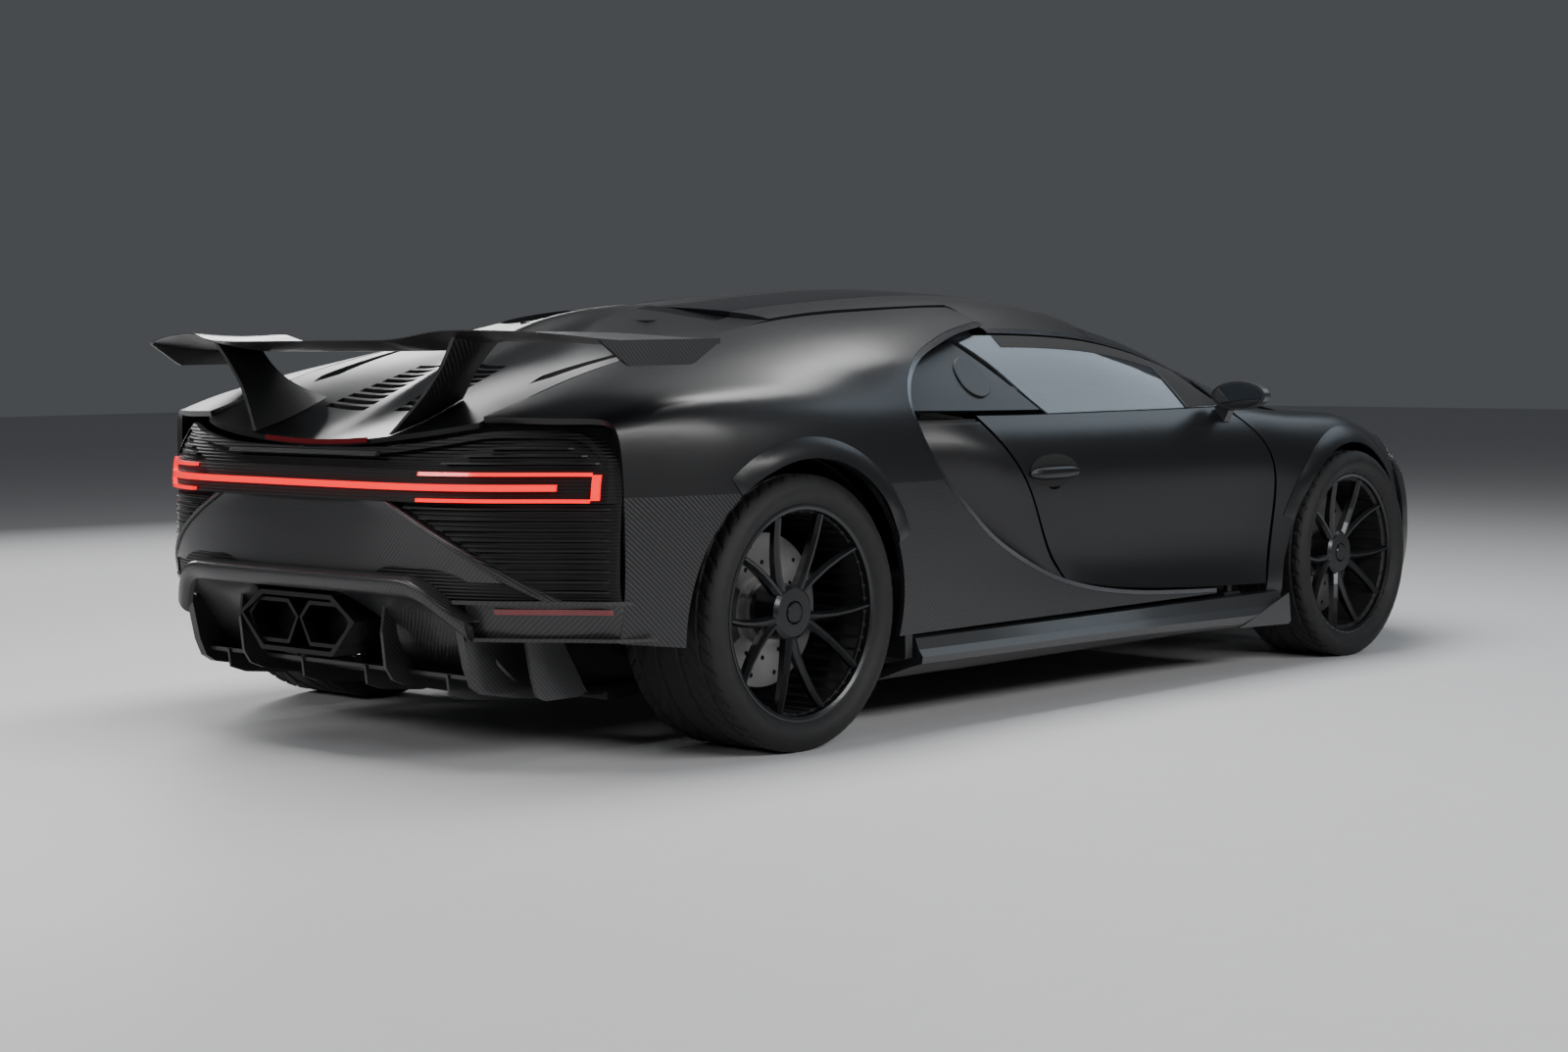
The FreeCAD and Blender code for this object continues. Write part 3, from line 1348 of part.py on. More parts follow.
mirror = make_mirror(RIGHT, door)
node("mirror_right", mirror)
node("mirror_left", mirrored(mirror))

# Sketch tools
def plane_of(body, role):
    """Origin plane of a body with the given role."""
    for feature in body.Origin.OriginFeatures:
        if feature.Role == role:
            return feature
    raise RuntimeError("no plane " + role)


def sketch_on(body, role, name, points=None, circles=None):
    """Closed outline or circles on one of a body's own planes."""
    sketch = body.newObject("Sketcher::SketchObject", name)
    sketch.AttachmentSupport = (plane_of(body, role), [""])
    sketch.MapMode = "FlatFace"
    items = []
    if points:
        ring = [Vector(a, b, 0) for a, b in points]
        items += [Part.LineSegment(ring[i], ring[(i + 1) % len(ring)]) for i in range(len(ring))]
    for cx, cy, r in circles or []:
        items.append(Part.Circle(Vector(cx, cy, 0), Vector(0, 0, 1), r))
    sketch.addGeometry(items, False)
    return sketch


def turned(name, points):
    """Body turned round the Y axis from an outline of (y, radius)."""
    body = doc.addObject("PartDesign::Body", name)
    body.Label = name
    sketch = sketch_on(body, "YZ_Plane", name + "_outline", points=points)
    turn = body.newObject("PartDesign::Revolution", name + "_turn")
    turn.Profile = sketch
    turn.ReferenceAxis = (sketch, ["H_Axis"])
    turn.Angle = 360.0
    body.Tip = turn
    return body


WHEELS = {
    "front_right": (FRONT_X, -size("track_front") / 2, True),
    "front_left": (FRONT_X, size("track_front") / 2, True),
    "rear_right": (REAR_X, -size("track_rear") / 2, False),
    "rear_left": (REAR_X, size("track_rear") / 2, False),
}


def wheel_sizes(front):
    """Local wheel sizes; the outer face looks to -Y."""
    if front:
        return dict(tyre=FRONT_R, half=size("tyre_front_width") / 2, rim=size("rim_front_radius"),
                    lip=-110.5, cap=-78.0, hub_back=0.0, disc=size("disc_front_radius"),
                    disc_mid=41.0)
    return dict(tyre=REAR_R, half=size("tyre_rear_width") / 2, rim=size("rim_rear_radius"),
                lip=-150.0, cap=-120.0, hub_back=-28.0, disc=size("disc_rear_radius"),
                disc_mid=14.0)


def place_wheel(item, key):
    """Puts a wheel piece at its own wheel, outer face outwards."""
    x, y, front = WHEELS[key]
    turn = FreeCAD.Rotation(Vector(0, 0, 1), 0 if y < 0 else 180)
    item.Placement = FreeCAD.Placement(Vector(x, y, FRONT_R if front else REAR_R), turn)


def make_tyre(key):
    """Tyre of one wheel, turned from its section."""
    s = wheel_sizes(WHEELS[key][2])
    bead = s["rim"] - 10.0 + SEAT
    w, r = s["half"], s["tyre"]
    points = [(s["lip"] + 21, bead), (-w, mix(bead, r, 0.5)), (-w + 22, r), (w - 22, r),
              (w, mix(bead, r, 0.5)), (w - 35, bead)]
    body = turned("tyre_" + key, points)
    place_wheel(body, key)
    NODES.append(body)


def leg(s, angle0, angle1, width0, width1):
    """Ridged spoke leg from the hub to the rim, lofted over five six-sided sections."""
    r0, r1 = 58.0, s["rim"] - 18.0
    sections = []
    for i in range(5):
        t = i / 4.0
        r = mix(r0, r1, t)
        a = math.radians(mix(angle0, angle1, t ** 0.85))
        w = mix(width0, width1, t) * 0.5
        y = mix(s["cap"] + 8.0, s["lip"] + 6.0, t ** 1.3)
        deep = mix(34.0, 26.0, t)
        c = Vector(r * math.sin(a), y, -r * math.cos(a))
        d = Vector(math.cos(a), 0, math.sin(a))
        outline = [(1.0, 10.0), (0.3, 0.0), (-0.3, 0.0), (-1.0, 10.0), (-0.7, deep), (0.7, deep)]
        points = [c + d * (w * k) + Vector(0, back, 0) for k, back in outline]
        sections.append(Part.makePolygon(points + [points[0]]))
    return Part.makeLoft(sections, True, True)


def rim_shape(front):
    """Barrel, five forked spokes and the hub, in wheel axes."""
    s = wheel_sizes(front)
    lip, half, rim = s["lip"], s["half"], s["rim"]
    ring = [(lip, rim), (lip + 6, rim), (lip + 13, rim - 10), (half - 27, rim - 10),
            (half - 21, rim - 2), (half - 15, rim - 2), (half - 15, rim - 19), (lip + 30, rim - 20),
            (lip + 4, rim - 14), (lip, rim - 6)]
    hub = [(s["cap"] + 14, 0.001), (s["cap"] + 14, 30), (s["cap"] + 4, 31), (s["cap"] + 4, 62),
           (s["cap"] + 12, 72), (s["hub_back"], 74), (s["hub_back"], 0.001)]
    cap = [(s["cap"], 0.001), (s["cap"], 24), (s["cap"] + 3, 27), (s["cap"] + 15, 27),
           (s["cap"] + 15, 0.001)]
    solids = []
    for outline in (ring, hub, cap):
        pts = [Vector(0, y, r) for y, r in outline]
        face = Part.Face(Part.makePolygon(pts + [pts[0]]))
        solids.append(face.revolve(Vector(0, 0, 0), Vector(0, 1, 0), 360))
    for k in range(int(size("spoke_count"))):
        mid = 360.0 / size("spoke_count") * k
        solids.append(leg(s, mid - 5.0, mid - 18.0, 26.0, 19.0))
        solids.append(leg(s, mid + 5.0, mid + 18.0, 26.0, 19.0))
    return fused(solids)


RIMS = {True: rim_shape(True), False: rim_shape(False)}


def make_rim(key):
    """Rim of one wheel, with its five split spokes."""
    item = node("rim_" + key, RIMS[WHEELS[key][2]])
    place_wheel(item, key)


def make_disc(key):
    """Vented disc with its hat and two rings of drillings."""
    s = wheel_sizes(WHEELS[key][2])
    thick = size("disc_thickness")
    a, b = s["disc_mid"] - thick / 2, s["disc_mid"] + thick / 2
    r = s["disc"]
    points = [(a, 95), (a, r), (b, r), (b, 78), (s["hub_back"] + SEAT + 8, 78),
              (s["hub_back"] + SEAT + 8, 30), (s["hub_back"] + SEAT, 30), (s["hub_back"] + SEAT, 88),
              (a, 88)]
    body = turned("disc_" + key, points)
    for ring, (radius, count, turn0) in enumerate(((r * 0.62, 12, 0.0), (r * 0.86, 12, 15.0))):
        a0 = math.radians(turn0)
        # XZ sketches look along -Y, so their own x runs with the wheel's x
        sk = sketch_on(body, "XZ_Plane", "%s_drill_%d" % (body.Label, ring),
                       circles=[(radius * math.cos(a0), radius * math.sin(a0), 6.5)])
        hole = body.newObject("PartDesign::Pocket", "%s_hole_%d" % (body.Label, ring))
        hole.Profile = sk
        hole.Type = 1
        hole.Midplane = True
        body.Tip = hole
        pattern = body.newObject("PartDesign::PolarPattern", "%s_ring_%d" % (body.Label, ring))
        pattern.Originals = [hole]
        pattern.Axis = (sk, ["N_Axis"])
        pattern.Angle = 360.0
        pattern.Occurrences = count
        body.Tip = pattern
    place_wheel(body, key)
    NODES.append(body)


BALL_R = 13.6
BALL_DROP = 130.0             # front ball joints above and below the axle, on the steering axis
STEER_Y = size("steer_pin_y")


def make_upright(key):
    """Hub carrier with the brake caliper over the disc."""
    front = WHEELS[key][2]
    s = wheel_sizes(front)
    a, b = s["disc_mid"] - size("disc_thickness") / 2, s["disc_mid"] + size("disc_thickness") / 2
    back = b + 6.0
    depth = 66.0
    half = BALL_DROP - BALL_R - 0.4 if front else 150.0
    parts = [box(-42, 42, back, back + depth, -half, half),
             Part.makeCylinder(70, depth - 4, Vector(0, back + 2, 0), Vector(0, 1, 0)),
             Part.makeCylinder(45, back + 10 - (s["hub_back"] + SEAT + 8 + SEAT),
                               Vector(0, s["hub_back"] + SEAT + 8 + SEAT, 0), Vector(0, 1, 0))]
    # caliper: arc behind the axle, bridging the rim of the disc
    r_in, r_out = s["disc"] * 0.60, s["rim"] - 24.0
    arc = []
    for t in range(9):
        ang = math.radians(mix(150, 210, t / 8.0))
        arc.append(Vector(r_out * math.cos(ang), a - 20, r_out * math.sin(ang)))
    for t in range(9):
        ang = math.radians(mix(210, 150, t / 8.0))
        arc.append(Vector(r_in * math.cos(ang), a - 20, r_in * math.sin(ang)))
    block = prism(arc, Vector(0, b - a + 42, 0))
    slot = Part.makeCylinder(s["disc"] + 3.0, b - a + 6.0, Vector(0, a - 3.0, 0), Vector(0, 1, 0))
    block = block.cut(slot)
    mount = box(-r_in - 12, -30, b + 6, b + 22, -36, 36)
    if not front:
        return fused(parts + [block, mount])
    item = node("upright_" + key, fused(parts + [block, mount]))
    place_wheel(item, key)
    return item.Shape


REAR_UPRIGHTS = []
for wheel_key in WHEELS:
    make_tyre(wheel_key)
    make_rim(wheel_key)
    make_disc(wheel_key)
    upright = make_upright(wheel_key)
    if not WHEELS[wheel_key][2]:
        wx, wy, _ = WHEELS[wheel_key]
        upright.Placement = FreeCAD.Placement(
            Vector(wx, wy, REAR_R), FreeCAD.Rotation(Vector(0, 0, 1), 0 if wy < 0 else 180))
        REAR_UPRIGHTS.append(upright)


# Chassis
def box_item(name, x0, x1, y0, y1, z0, z1, links=None):
    """Parametric box whose sizes may be tied to the sheet."""
    item = doc.addObject("Part::Box", name)
    item.Length, item.Width, item.Height = x1 - x0, y1 - y0, z1 - z0
    item.Placement = FreeCAD.Placement(Vector(x0, y0, z0), FreeCAD.Rotation())
    for prop, rule in (links or {}).items():
        item.setExpression(prop, rule)
    return item


def joined(name, items):
    """Fused node made of parametric items."""
    item = doc.addObject("Part::MultiFuse", name)
    item.Shapes = items
    item.Label = name
    NODES.append(item)
    return item


def pair(name, x0, x1, y0, y1, z0, z1):
    """Two like boxes, one on each side."""
    return [box_item(name + "_r", x0, x1, -y1, -y0, z0, z1),
            box_item(name + "_l", x0, x1, y0, y1, z0, z1)]


tub_items = [
    box_item("floor_mid", -640, 900, -FLOOR_HALF, FLOOR_HALF, 125, 150,
             {"Placement.Base.z": "sizes.floor_height"}),
    box_item("floor_front", 895, 1760 - SEAT, -440, 440, 128, 150),
    box_item("floor_rear", -1700, -635, -560, 560, 128, 150),
    box_item("bulkhead", -700, -660, -BULKHEAD_HALF, BULKHEAD_HALF, 140, BULKHEAD_TOP),
    box_item("tunnel", -665, 970, -120, 120, 140, 380),
    box_item("firewall", 955, 985, -FIREWALL_HALF, FIREWALL_HALF, 140, 770),
    box_item("well_floor", 1120, 1720, -380, 380, 330, 342),
    box_item("well_front", 1708, 1720, -380, 380, 335, 640),
    box_item("well_back", 1120, 1132, -380, 380, 335, 700),
    box_item("crash_front", 2080, CRASH_BAR_X, -480, 480, 300, 420),
    box_item("crash_rear", -CRASH_REAR_X, -2090, -560, 560, 445, 620),
]
tub_items += pair("tub_shoulder", -1003.8, -635, 340, TUB_SHOULDER, 145, 400)
tub_items += pair("crash_leg", -CRASH_REAR_X, -1750, 400, 460, 330, 450)
tub_items += pair("sill", -640, 885, 640, SILL_HALF, 145, 400)
tub_items += pair("hinge_plate", 610, 700, 730, 942, 232, HINGE_PLATE_Z)
tub_items += pair("hinge_web", 610, 700, 730, 780, 145, 240)
tub_items += pair("front_rail", 980, 2085, 340, 400, 205, 335)
tub_items += pair("front_rail_foot", 980, 1755, 355, 385, 145, 210)
tub_items += pair("well_side", 1120, 1720, 368, 380, 335, 640)
tub_items += pair("lid_post", 1092, 1122, 304, 336, 330, size("lid_hinge_z") - 10.0 - SEAT)
tub_items += pair("rear_rail", -1800, -995, 400, 460, 205, 335)
tub_items += pair("rear_rail_foot", -1700, -995, 415, 445, 145, 210)
joined("tub", tub_items)

engine = box_item("engine", -1500, -740, -330, 330, FLOOR_TOP + SEAT, ENGINE_TOP)
engine.Label = "engine"
NODES.append(engine)


def make_links(front):
    """Upper and lower wishbones of one axle, both sides."""
    parts = []
    axle_x = FRONT_X if front else REAR_X
    axle_z = FRONT_R if front else REAR_R
    s = wheel_sizes(front)
    track = size("track_front" if front else "track_rear") / 2
    ball = track - (s["disc_mid"] + size("disc_thickness") / 2 + 72.0) - (34.0 if front else 14.0)
    rail = 400.0 if front else 460.0
    for side in (RIGHT, LEFT):
        drop = BALL_DROP if front else 105.0
        for dz, spread in ((-drop, 115.0), (drop, 95.0)):
            z = axle_z + dz
            root_z = min(max(z, 234.0), 318.0)
            tip = Vector(axle_x, side * ball, z)
            if front:
                pin = Vector(axle_x, side * STEER_Y, z)
                parts += [bar(tip, pin, 11.0), Part.makeSphere(BALL_R, pin)]
            for sx in (-1, 1):
                root = Vector(axle_x + sx * spread, side * (rail + 30.0), root_z)
                parts.append(bar(root, tip, 11.0))
                parts.append(box(axle_x + sx * spread - 16, axle_x + sx * spread + 16,
                                 side * (rail + SEAT), side * (rail + 44.0), 220, root_z + 14))
            parts.append(Part.makeSphere(BALL_R, tip))
        parts.append(bar(Vector(axle_x, side * (ball - 26), axle_z - drop),
                         Vector(axle_x, side * (rail + 40), axle_z + 130), 20.0))
        parts.append(bar(Vector(axle_x - 60, side * (rail + 22), 300),
                         Vector(axle_x + 60, side * (rail + 22), 300), 12.0))
        parts.append(bar(Vector(axle_x, side * (rail + 22), 300),
                         Vector(axle_x, side * (rail + 40), axle_z + 130), 16.0))
    return parts


for name, front in (("front_links", True), ("rear_links", False)):
    pieces = make_links(front)
    half = len(pieces) // 2
    arms = [fused(pieces[:half]), fused(pieces[half:])]
    node(name, Part.makeCompound(arms if front else arms + REAR_UPRIGHTS))

# Cabin
def make_seat(side):
    """Bucket seat: cushion and backrest, each lofted over ribbed cross sections, on two runners."""
    y0 = side * 372.0

    def section(x, z, half, edge, thick, lean):
        """Trough section square to a direction that leans by the given angle."""
        up = Vector(math.sin(math.radians(lean)), 0, math.cos(math.radians(lean)))
        middle = Vector(x, y0, z)
        across = [(-1.0, edge), (-0.72, edge * 0.8), (-0.5, 0.0), (0.5, 0.0), (0.72, edge * 0.8),
                  (1.0, edge), (0.94, -thick), (-0.94, -thick)]
        points = [middle + Vector(0, half * a, 0) + up * rise for a, rise in across]
        return Part.makePolygon(points + [points[0]])
    cushion = Part.makeLoft([section(255, 318, 214, 30, 50, -12), section(130, 322, 238, 58, 54, -6),
                             section(0, 300, 240, 66, 44, 2), section(-130, 292, 240, 74, 40, 12)],
                            True, True)
    back = Part.makeLoft([section(-118, 330, 238, 72, 60, 64), section(-205, 470, 240, 82, 56, 62),
                          section(-290, 660, 240, 80, 52, 66), section(-352, 800, 226, 44, 48, 68)],
                         True, True)
    head = Part.makeLoft([section(-348, 790, 150, 16, 44, 68), section(-398, 920, 122, 14, 44, 68),
                          section(-418, 985, 92, 8, 40, 70)], True, True)
    runners = [box(-150, 215, y0 + dy - 14, y0 + dy + 14, FLOOR_TOP + SEAT, 268)
               for dy in (-150, 150)]
    return fused([cushion, back, head] + runners)


node("seats", both(make_seat))


def make_dash():
    """Dashboard with its hood, and the centre console that runs down to the tunnel."""
    def section(y, bulge):
        line = [(900, 742), (760, 770 + bulge), (620, 775 + bulge), (532, 735 + 0.5 * bulge),
                (520, 660), (575, 585), (628, 585), (640, 660), (705, 698), (905, 700)]
        points = [Vector(x, y, z) for x, z in line]
        return Part.makePolygon(points + [points[0]])
    swell = [(-618, 4), (-470, 20), (-370, 27), (-260, 16), (-110, 6), (110, 6), (260, 18),
             (370, 32), (480, 20), (618, 4)]
    top = Part.makeLoft([section(y, bulge) for y, bulge in swell], True, True)
    console = prism([Vector(x, -88, z) for x, z in
                     ((660, 640), (560, 640), (330, 470), (-430, 452), (-430, 380 + SEAT),
                      (660, 380 + SEAT))], Vector(0, 176, 0))
    column = bar(Vector(560, 372, 668), Vector(470, 372, 640), 30)
    return fused([top, console, column])


node("dashboard", make_dash())


def make_steering_wheel():
    """Wheel with three spokes and its hub, square to the column."""
    ring = Part.makeTorus(172, 14)
    hub = Part.makeCylinder(52, 30, Vector(0, 0, -8))
    spokes = [box(-168, 168, -13, 13, -5, 7), box(-14, 14, -168, 0, -5, 7)]
    shape = fused([ring, hub] + spokes)
    shape.Placement = FreeCAD.Placement(Vector(0, 0, 0), FreeCAD.Rotation())
    return shape


wheel_item = node("steering_wheel", make_steering_wheel())
axis = Vector(470 - 560, 0, 640 - 668).normalize()
turn = FreeCAD.Rotation(Vector(0, 0, 1), axis)
wheel_item.Placement = FreeCAD.Placement(Vector(470, 372, 640) + axis * (8 + SEAT), turn)


def make_liner(key):
    """Wheel house sheet between the tyre and the skins."""
    x, y, front = WHEELS[key]
    side = -1 if y < 0 else 1
    z = FRONT_R if front else REAR_R
    r = 404.0 if front else 402.0
    y_in, y_out = (FIREWALL_HALF + SEAT, 925.0) if front else (565.0, 925.0)
    ring = tube(x, side * y_in, z, r + 3, y_out - y_in, Vector(0, side, 0))
    core = tube(x, side * (y_in - 5), z, r, y_out - y_in + 10, Vector(0, side, 0))
    sheet_shape = ring.cut(core)
    keep = box(x - 600, x + 600, side * (y_in - 5), side * (y_out + 5), z + 20, z + 600)
    return sheet_shape.common(keep)


node("wheel_liners", Part.makeCompound([make_liner(key) for key in WHEELS]))

# Neighbours on the same body that meet: the first is trimmed by the second
FITS = [("c_trim", "roof"), ("c_trim", "fixed_glass"), ("skirts", "fender_right"),
        ("skirts", "fender_left"), ("front_bumper", "headlamps"), ("rear_bumper", "diffuser"),
        ("red_lenses", "rear_bumper")]
by_name = dict((item.Label, item) for item in NODES)
for name, other in FITS:
    kept = trimmed(by_name[name].Shape, by_name[other].Shape.Solids)
    by_name[name].Shape = Part.makeCompound(kept)

# Checks and export
doc.recompute()
faults = [item.Label for item in NODES
          if "Invalid" in item.State or "Error" in item.State
          or item.Shape.isNull() or not item.Shape.isValid()]
if faults:
    raise RuntimeError("bad shapes: " + ", ".join(faults))
for item in NODES:
    item.Shape.exportStep("parts/%s.step" % item.Label)
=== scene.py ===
"""Looks of a mid-engined hypercar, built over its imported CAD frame."""

import json
import logging
import math
from collections.abc import Callable
from dataclasses import dataclass
from enum import Enum

import bmesh
import bpy
import numpy as np
from mathutils import Matrix, Vector
from mathutils.bvhtree import BVHTree

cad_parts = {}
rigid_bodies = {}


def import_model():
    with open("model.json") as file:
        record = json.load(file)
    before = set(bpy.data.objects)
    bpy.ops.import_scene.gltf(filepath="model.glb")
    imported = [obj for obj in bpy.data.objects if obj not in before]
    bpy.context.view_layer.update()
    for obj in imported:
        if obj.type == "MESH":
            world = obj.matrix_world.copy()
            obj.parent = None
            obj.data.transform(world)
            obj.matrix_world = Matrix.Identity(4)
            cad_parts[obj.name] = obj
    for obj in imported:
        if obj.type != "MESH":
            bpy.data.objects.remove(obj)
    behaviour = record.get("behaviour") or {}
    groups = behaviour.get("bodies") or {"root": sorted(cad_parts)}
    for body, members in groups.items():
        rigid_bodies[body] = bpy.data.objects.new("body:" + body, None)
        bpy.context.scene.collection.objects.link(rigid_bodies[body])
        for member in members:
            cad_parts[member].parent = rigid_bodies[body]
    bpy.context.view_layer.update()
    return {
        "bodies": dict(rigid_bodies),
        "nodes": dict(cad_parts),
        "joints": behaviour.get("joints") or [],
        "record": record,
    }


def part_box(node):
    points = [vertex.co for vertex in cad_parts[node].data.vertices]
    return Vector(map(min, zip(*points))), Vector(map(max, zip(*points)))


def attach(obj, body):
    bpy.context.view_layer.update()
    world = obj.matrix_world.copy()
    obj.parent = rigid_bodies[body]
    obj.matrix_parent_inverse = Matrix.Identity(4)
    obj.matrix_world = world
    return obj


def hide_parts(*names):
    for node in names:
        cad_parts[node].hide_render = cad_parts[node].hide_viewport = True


log = logging.getLogger("scene")
Colour = tuple[float, float, float]
Place = tuple[float, float, float]
Faces = list[tuple[int, ...]]
Material = bpy.types.Material


# Shader graph tools

def operator(kind: str, swapped: bool = False) -> Callable[["Signal", object], "Signal"]:
    """Python operator of a signal that adds a Math node, with the values swapped on request."""
    def apply(signal: "Signal", other: object) -> "Signal":
        """Math node of both values."""
        return signal.graph.math(kind, *((other, signal) if swapped else (signal, other)))
    return apply


class Signal:
    """Output socket of a node; arithmetic on it adds Math nodes."""

    __add__, __radd__ = operator("ADD"), operator("ADD", swapped=True)
    __sub__, __rsub__ = operator("SUBTRACT"), operator("SUBTRACT", swapped=True)
    __mul__, __rmul__ = operator("MULTIPLY"), operator("MULTIPLY", swapped=True)
    __truediv__, __mod__ = operator("DIVIDE"), operator("FLOORED_MODULO")
    __gt__, __lt__ = operator("GREATER_THAN"), operator("LESS_THAN")

    def __init__(self, graph: "Graph", socket: bpy.types.NodeSocket) -> None:
        self.graph = graph
        self.socket = socket

    def math(self, operation: str, *others: object) -> "Signal":
        """Math node of this signal and the others."""
        return self.graph.math(operation, self, *others)

    def between(self, low: float, high: float) -> "Signal":
        """Ramp from 0 at low to 1 at high, held at both ends."""
        return self.graph.add("ShaderNodeMapRange", {"Value": self, "From Min": low, "From Max": high})


class Graph:
    """Node tree of one Principled material.

    Args:
        name: material name.
        colour: flat base colour, until something is linked to it.
        roughness: uniform roughness.
        sockets: other sockets of the shader set to plain values.
    """

    def __init__(self, name: str, colour: Colour, roughness: float,
                 sockets: dict[str, object] | None = None) -> None:
        self.material = bpy.data.materials.new(name)
        self.material.use_nodes = True
        self.material.diffuse_color = (*colour, 1.0)
        self.tree = self.material.node_tree
        self.shader = self.tree.nodes["Principled BSDF"]
        self.shader.inputs["Base Color"].default_value = (*colour, 1.0)
        self.shader.inputs["Roughness"].default_value = roughness
        for socket, value in (sockets or {}).items():
            self.shader.inputs[socket].default_value = value

    def add(self, kind: str, inputs: dict[object, object] | None = None, output: object = 0,
            **settings: object) -> Signal:
        """Add any node.

        Args:
            kind: Blender node type.
            inputs: socket name or number against a value or signal.
            output: which output is returned.
            settings: properties of the node itself.
        Returns:
            The chosen output.
        """
        node = self.tree.nodes.new(kind)
        for key, value in settings.items():
            setattr(node, key, value)
        for key, value in (inputs or {}).items():
            self.feed(node.inputs[key], value)
        return Signal(self, node.outputs[output])

    def feed(self, socket: bpy.types.NodeSocket, value: object) -> None:
        """Link a signal to a socket, or set its value."""
        if isinstance(value, Signal):
            self.tree.links.new(value.socket, socket)
        else:
            socket.default_value = value

    def math(self, operation: str, *values: object) -> Signal:
        """Math node with the given operation."""
        return self.add("ShaderNodeMath", dict(enumerate(values)), operation=operation)

    def blend(self, share: object, low: object, high: object) -> Signal:
        """Colour that goes from low to high with the share."""
        ends = [(*end, 1.0) if isinstance(end, tuple) else end for end in (low, high)]
        return self.add("ShaderNodeMix", {0: share, 6: ends[0], 7: ends[1]}, 2, data_type="RGBA")

    def place(self) -> Signal:
        """Object coordinates, in metres."""
        return self.add("ShaderNodeTexCoord", output="Object")

    def axes(self, vector: Signal) -> tuple[Signal, Signal, Signal]:
        """The three parts of a vector."""
        node = self.tree.nodes.new("ShaderNodeSeparateXYZ")
        self.feed(node.inputs[0], vector)
        return tuple(Signal(self, out) for out in node.outputs)

    def noise(self, scale: float, detail: float = 2.0, where: Signal | None = None) -> Signal:
        """Smooth noise over the object, 0 to 1."""
        inputs = {"Vector": where or self.place(), "Scale": scale, "Detail": detail}
        return self.add("ShaderNodeTexNoise", inputs)

    def link(self, socket: str, value: Signal) -> None:
        """Link a signal to a socket of the shader."""
        self.feed(self.shader.inputs[socket], value)

    def finish(self, colour: Signal, rough: Signal, height: Signal, distance: float,
               strength: float = 1.0) -> Material:
        """Link colour, roughness and relief.

        Args:
            colour, rough: colour and roughness.
            height, distance, strength: relief, its metres at full height, and its share.
        Returns:
            The material.
        """
        relief = self.add("ShaderNodeBump", {"Height": height, "Distance": distance, "Strength": strength})
        for socket, value in (("Base Color", colour), ("Roughness", rough), ("Normal", relief)):
            self.link(socket, value)
        return self.material


# Finishes

def shade(colour: Colour, share: float) -> Colour:
    """Colour made darker or lighter."""
    return tuple(share * part for part in colour)


@dataclass(frozen=True)
class Weave:
    """Two-by-two twill carbon cloth under lacquer.

    Attributes:
        tow: width of one yarn.
        dark, light: shaded and lit colours of the same yarns, for those that run one way and the other, as
            painted sheen.
    """

    tow: float = 0.0032
    dark: Colour = (0.0030, 0.0031, 0.0034)
    light: Colour = (0.030, 0.0305, 0.033)

    def pattern(self, graph: Graph) -> tuple[Signal, Signal]:
        """Weave over the widest face of the surface.

        Returns:
            1 where the yarn along the first direction is on top, and the relief height.
        """
        x, y, z = graph.axes(graph.place())
        normal = graph.add("ShaderNodeTexCoord", output="Normal")
        nx, ny, nz = (part.math("ABSOLUTE") for part in graph.axes(normal))
        u = (x + (nx > ny) * (nx > nz) * (y - x)) / self.tow
        v = (z + (nz > nx) * (nz > ny) * (y - z)) / self.tow
        over = (u.math("FLOOR") + v.math("FLOOR")) % 4.0 < 1.5
        across = u.math("FRACT") + over * (v.math("FRACT") - u.math("FRACT"))
        return over, (across * math.pi).math("SINE")


@dataclass(frozen=True)
class Carbon:
    """Bare carbon cloth with a satin lacquer."""

    name: str = "carbon_twill"
    weave: Weave = Weave()
    roughness: float = 0.34
    coat: float = 0.45

    def build(self) -> Material:
        """Make the material."""
        graph = Graph(self.name, self.weave.dark, self.roughness,
                      {"Coat Weight": self.coat, "Coat Roughness": 0.16, "Specular IOR Level": 0.5})
        over, height = self.weave.pattern(graph)
        cloud = graph.noise(7.0, 3.0)
        # Painted sheen: yarns on top in the first direction take the lit colour, the others the shaded one.
        colour = graph.blend(over * (0.7 + 0.3 * cloud), self.weave.dark, self.weave.light)
        return graph.finish(colour, self.roughness + 0.12 * over + 0.06 * cloud, height, 0.00025, 0.6)


class Zone(Enum):
    """Where a painted panel carries another finish."""

    NONE = "all paint"
    LOWER_CARBON = "carbon cloth below a split line"
    SHELF_CARBON = "carbon cloth above the intake shelf"
    GLOSS_LANES = "dark gloss lanes either side of a painted spine"


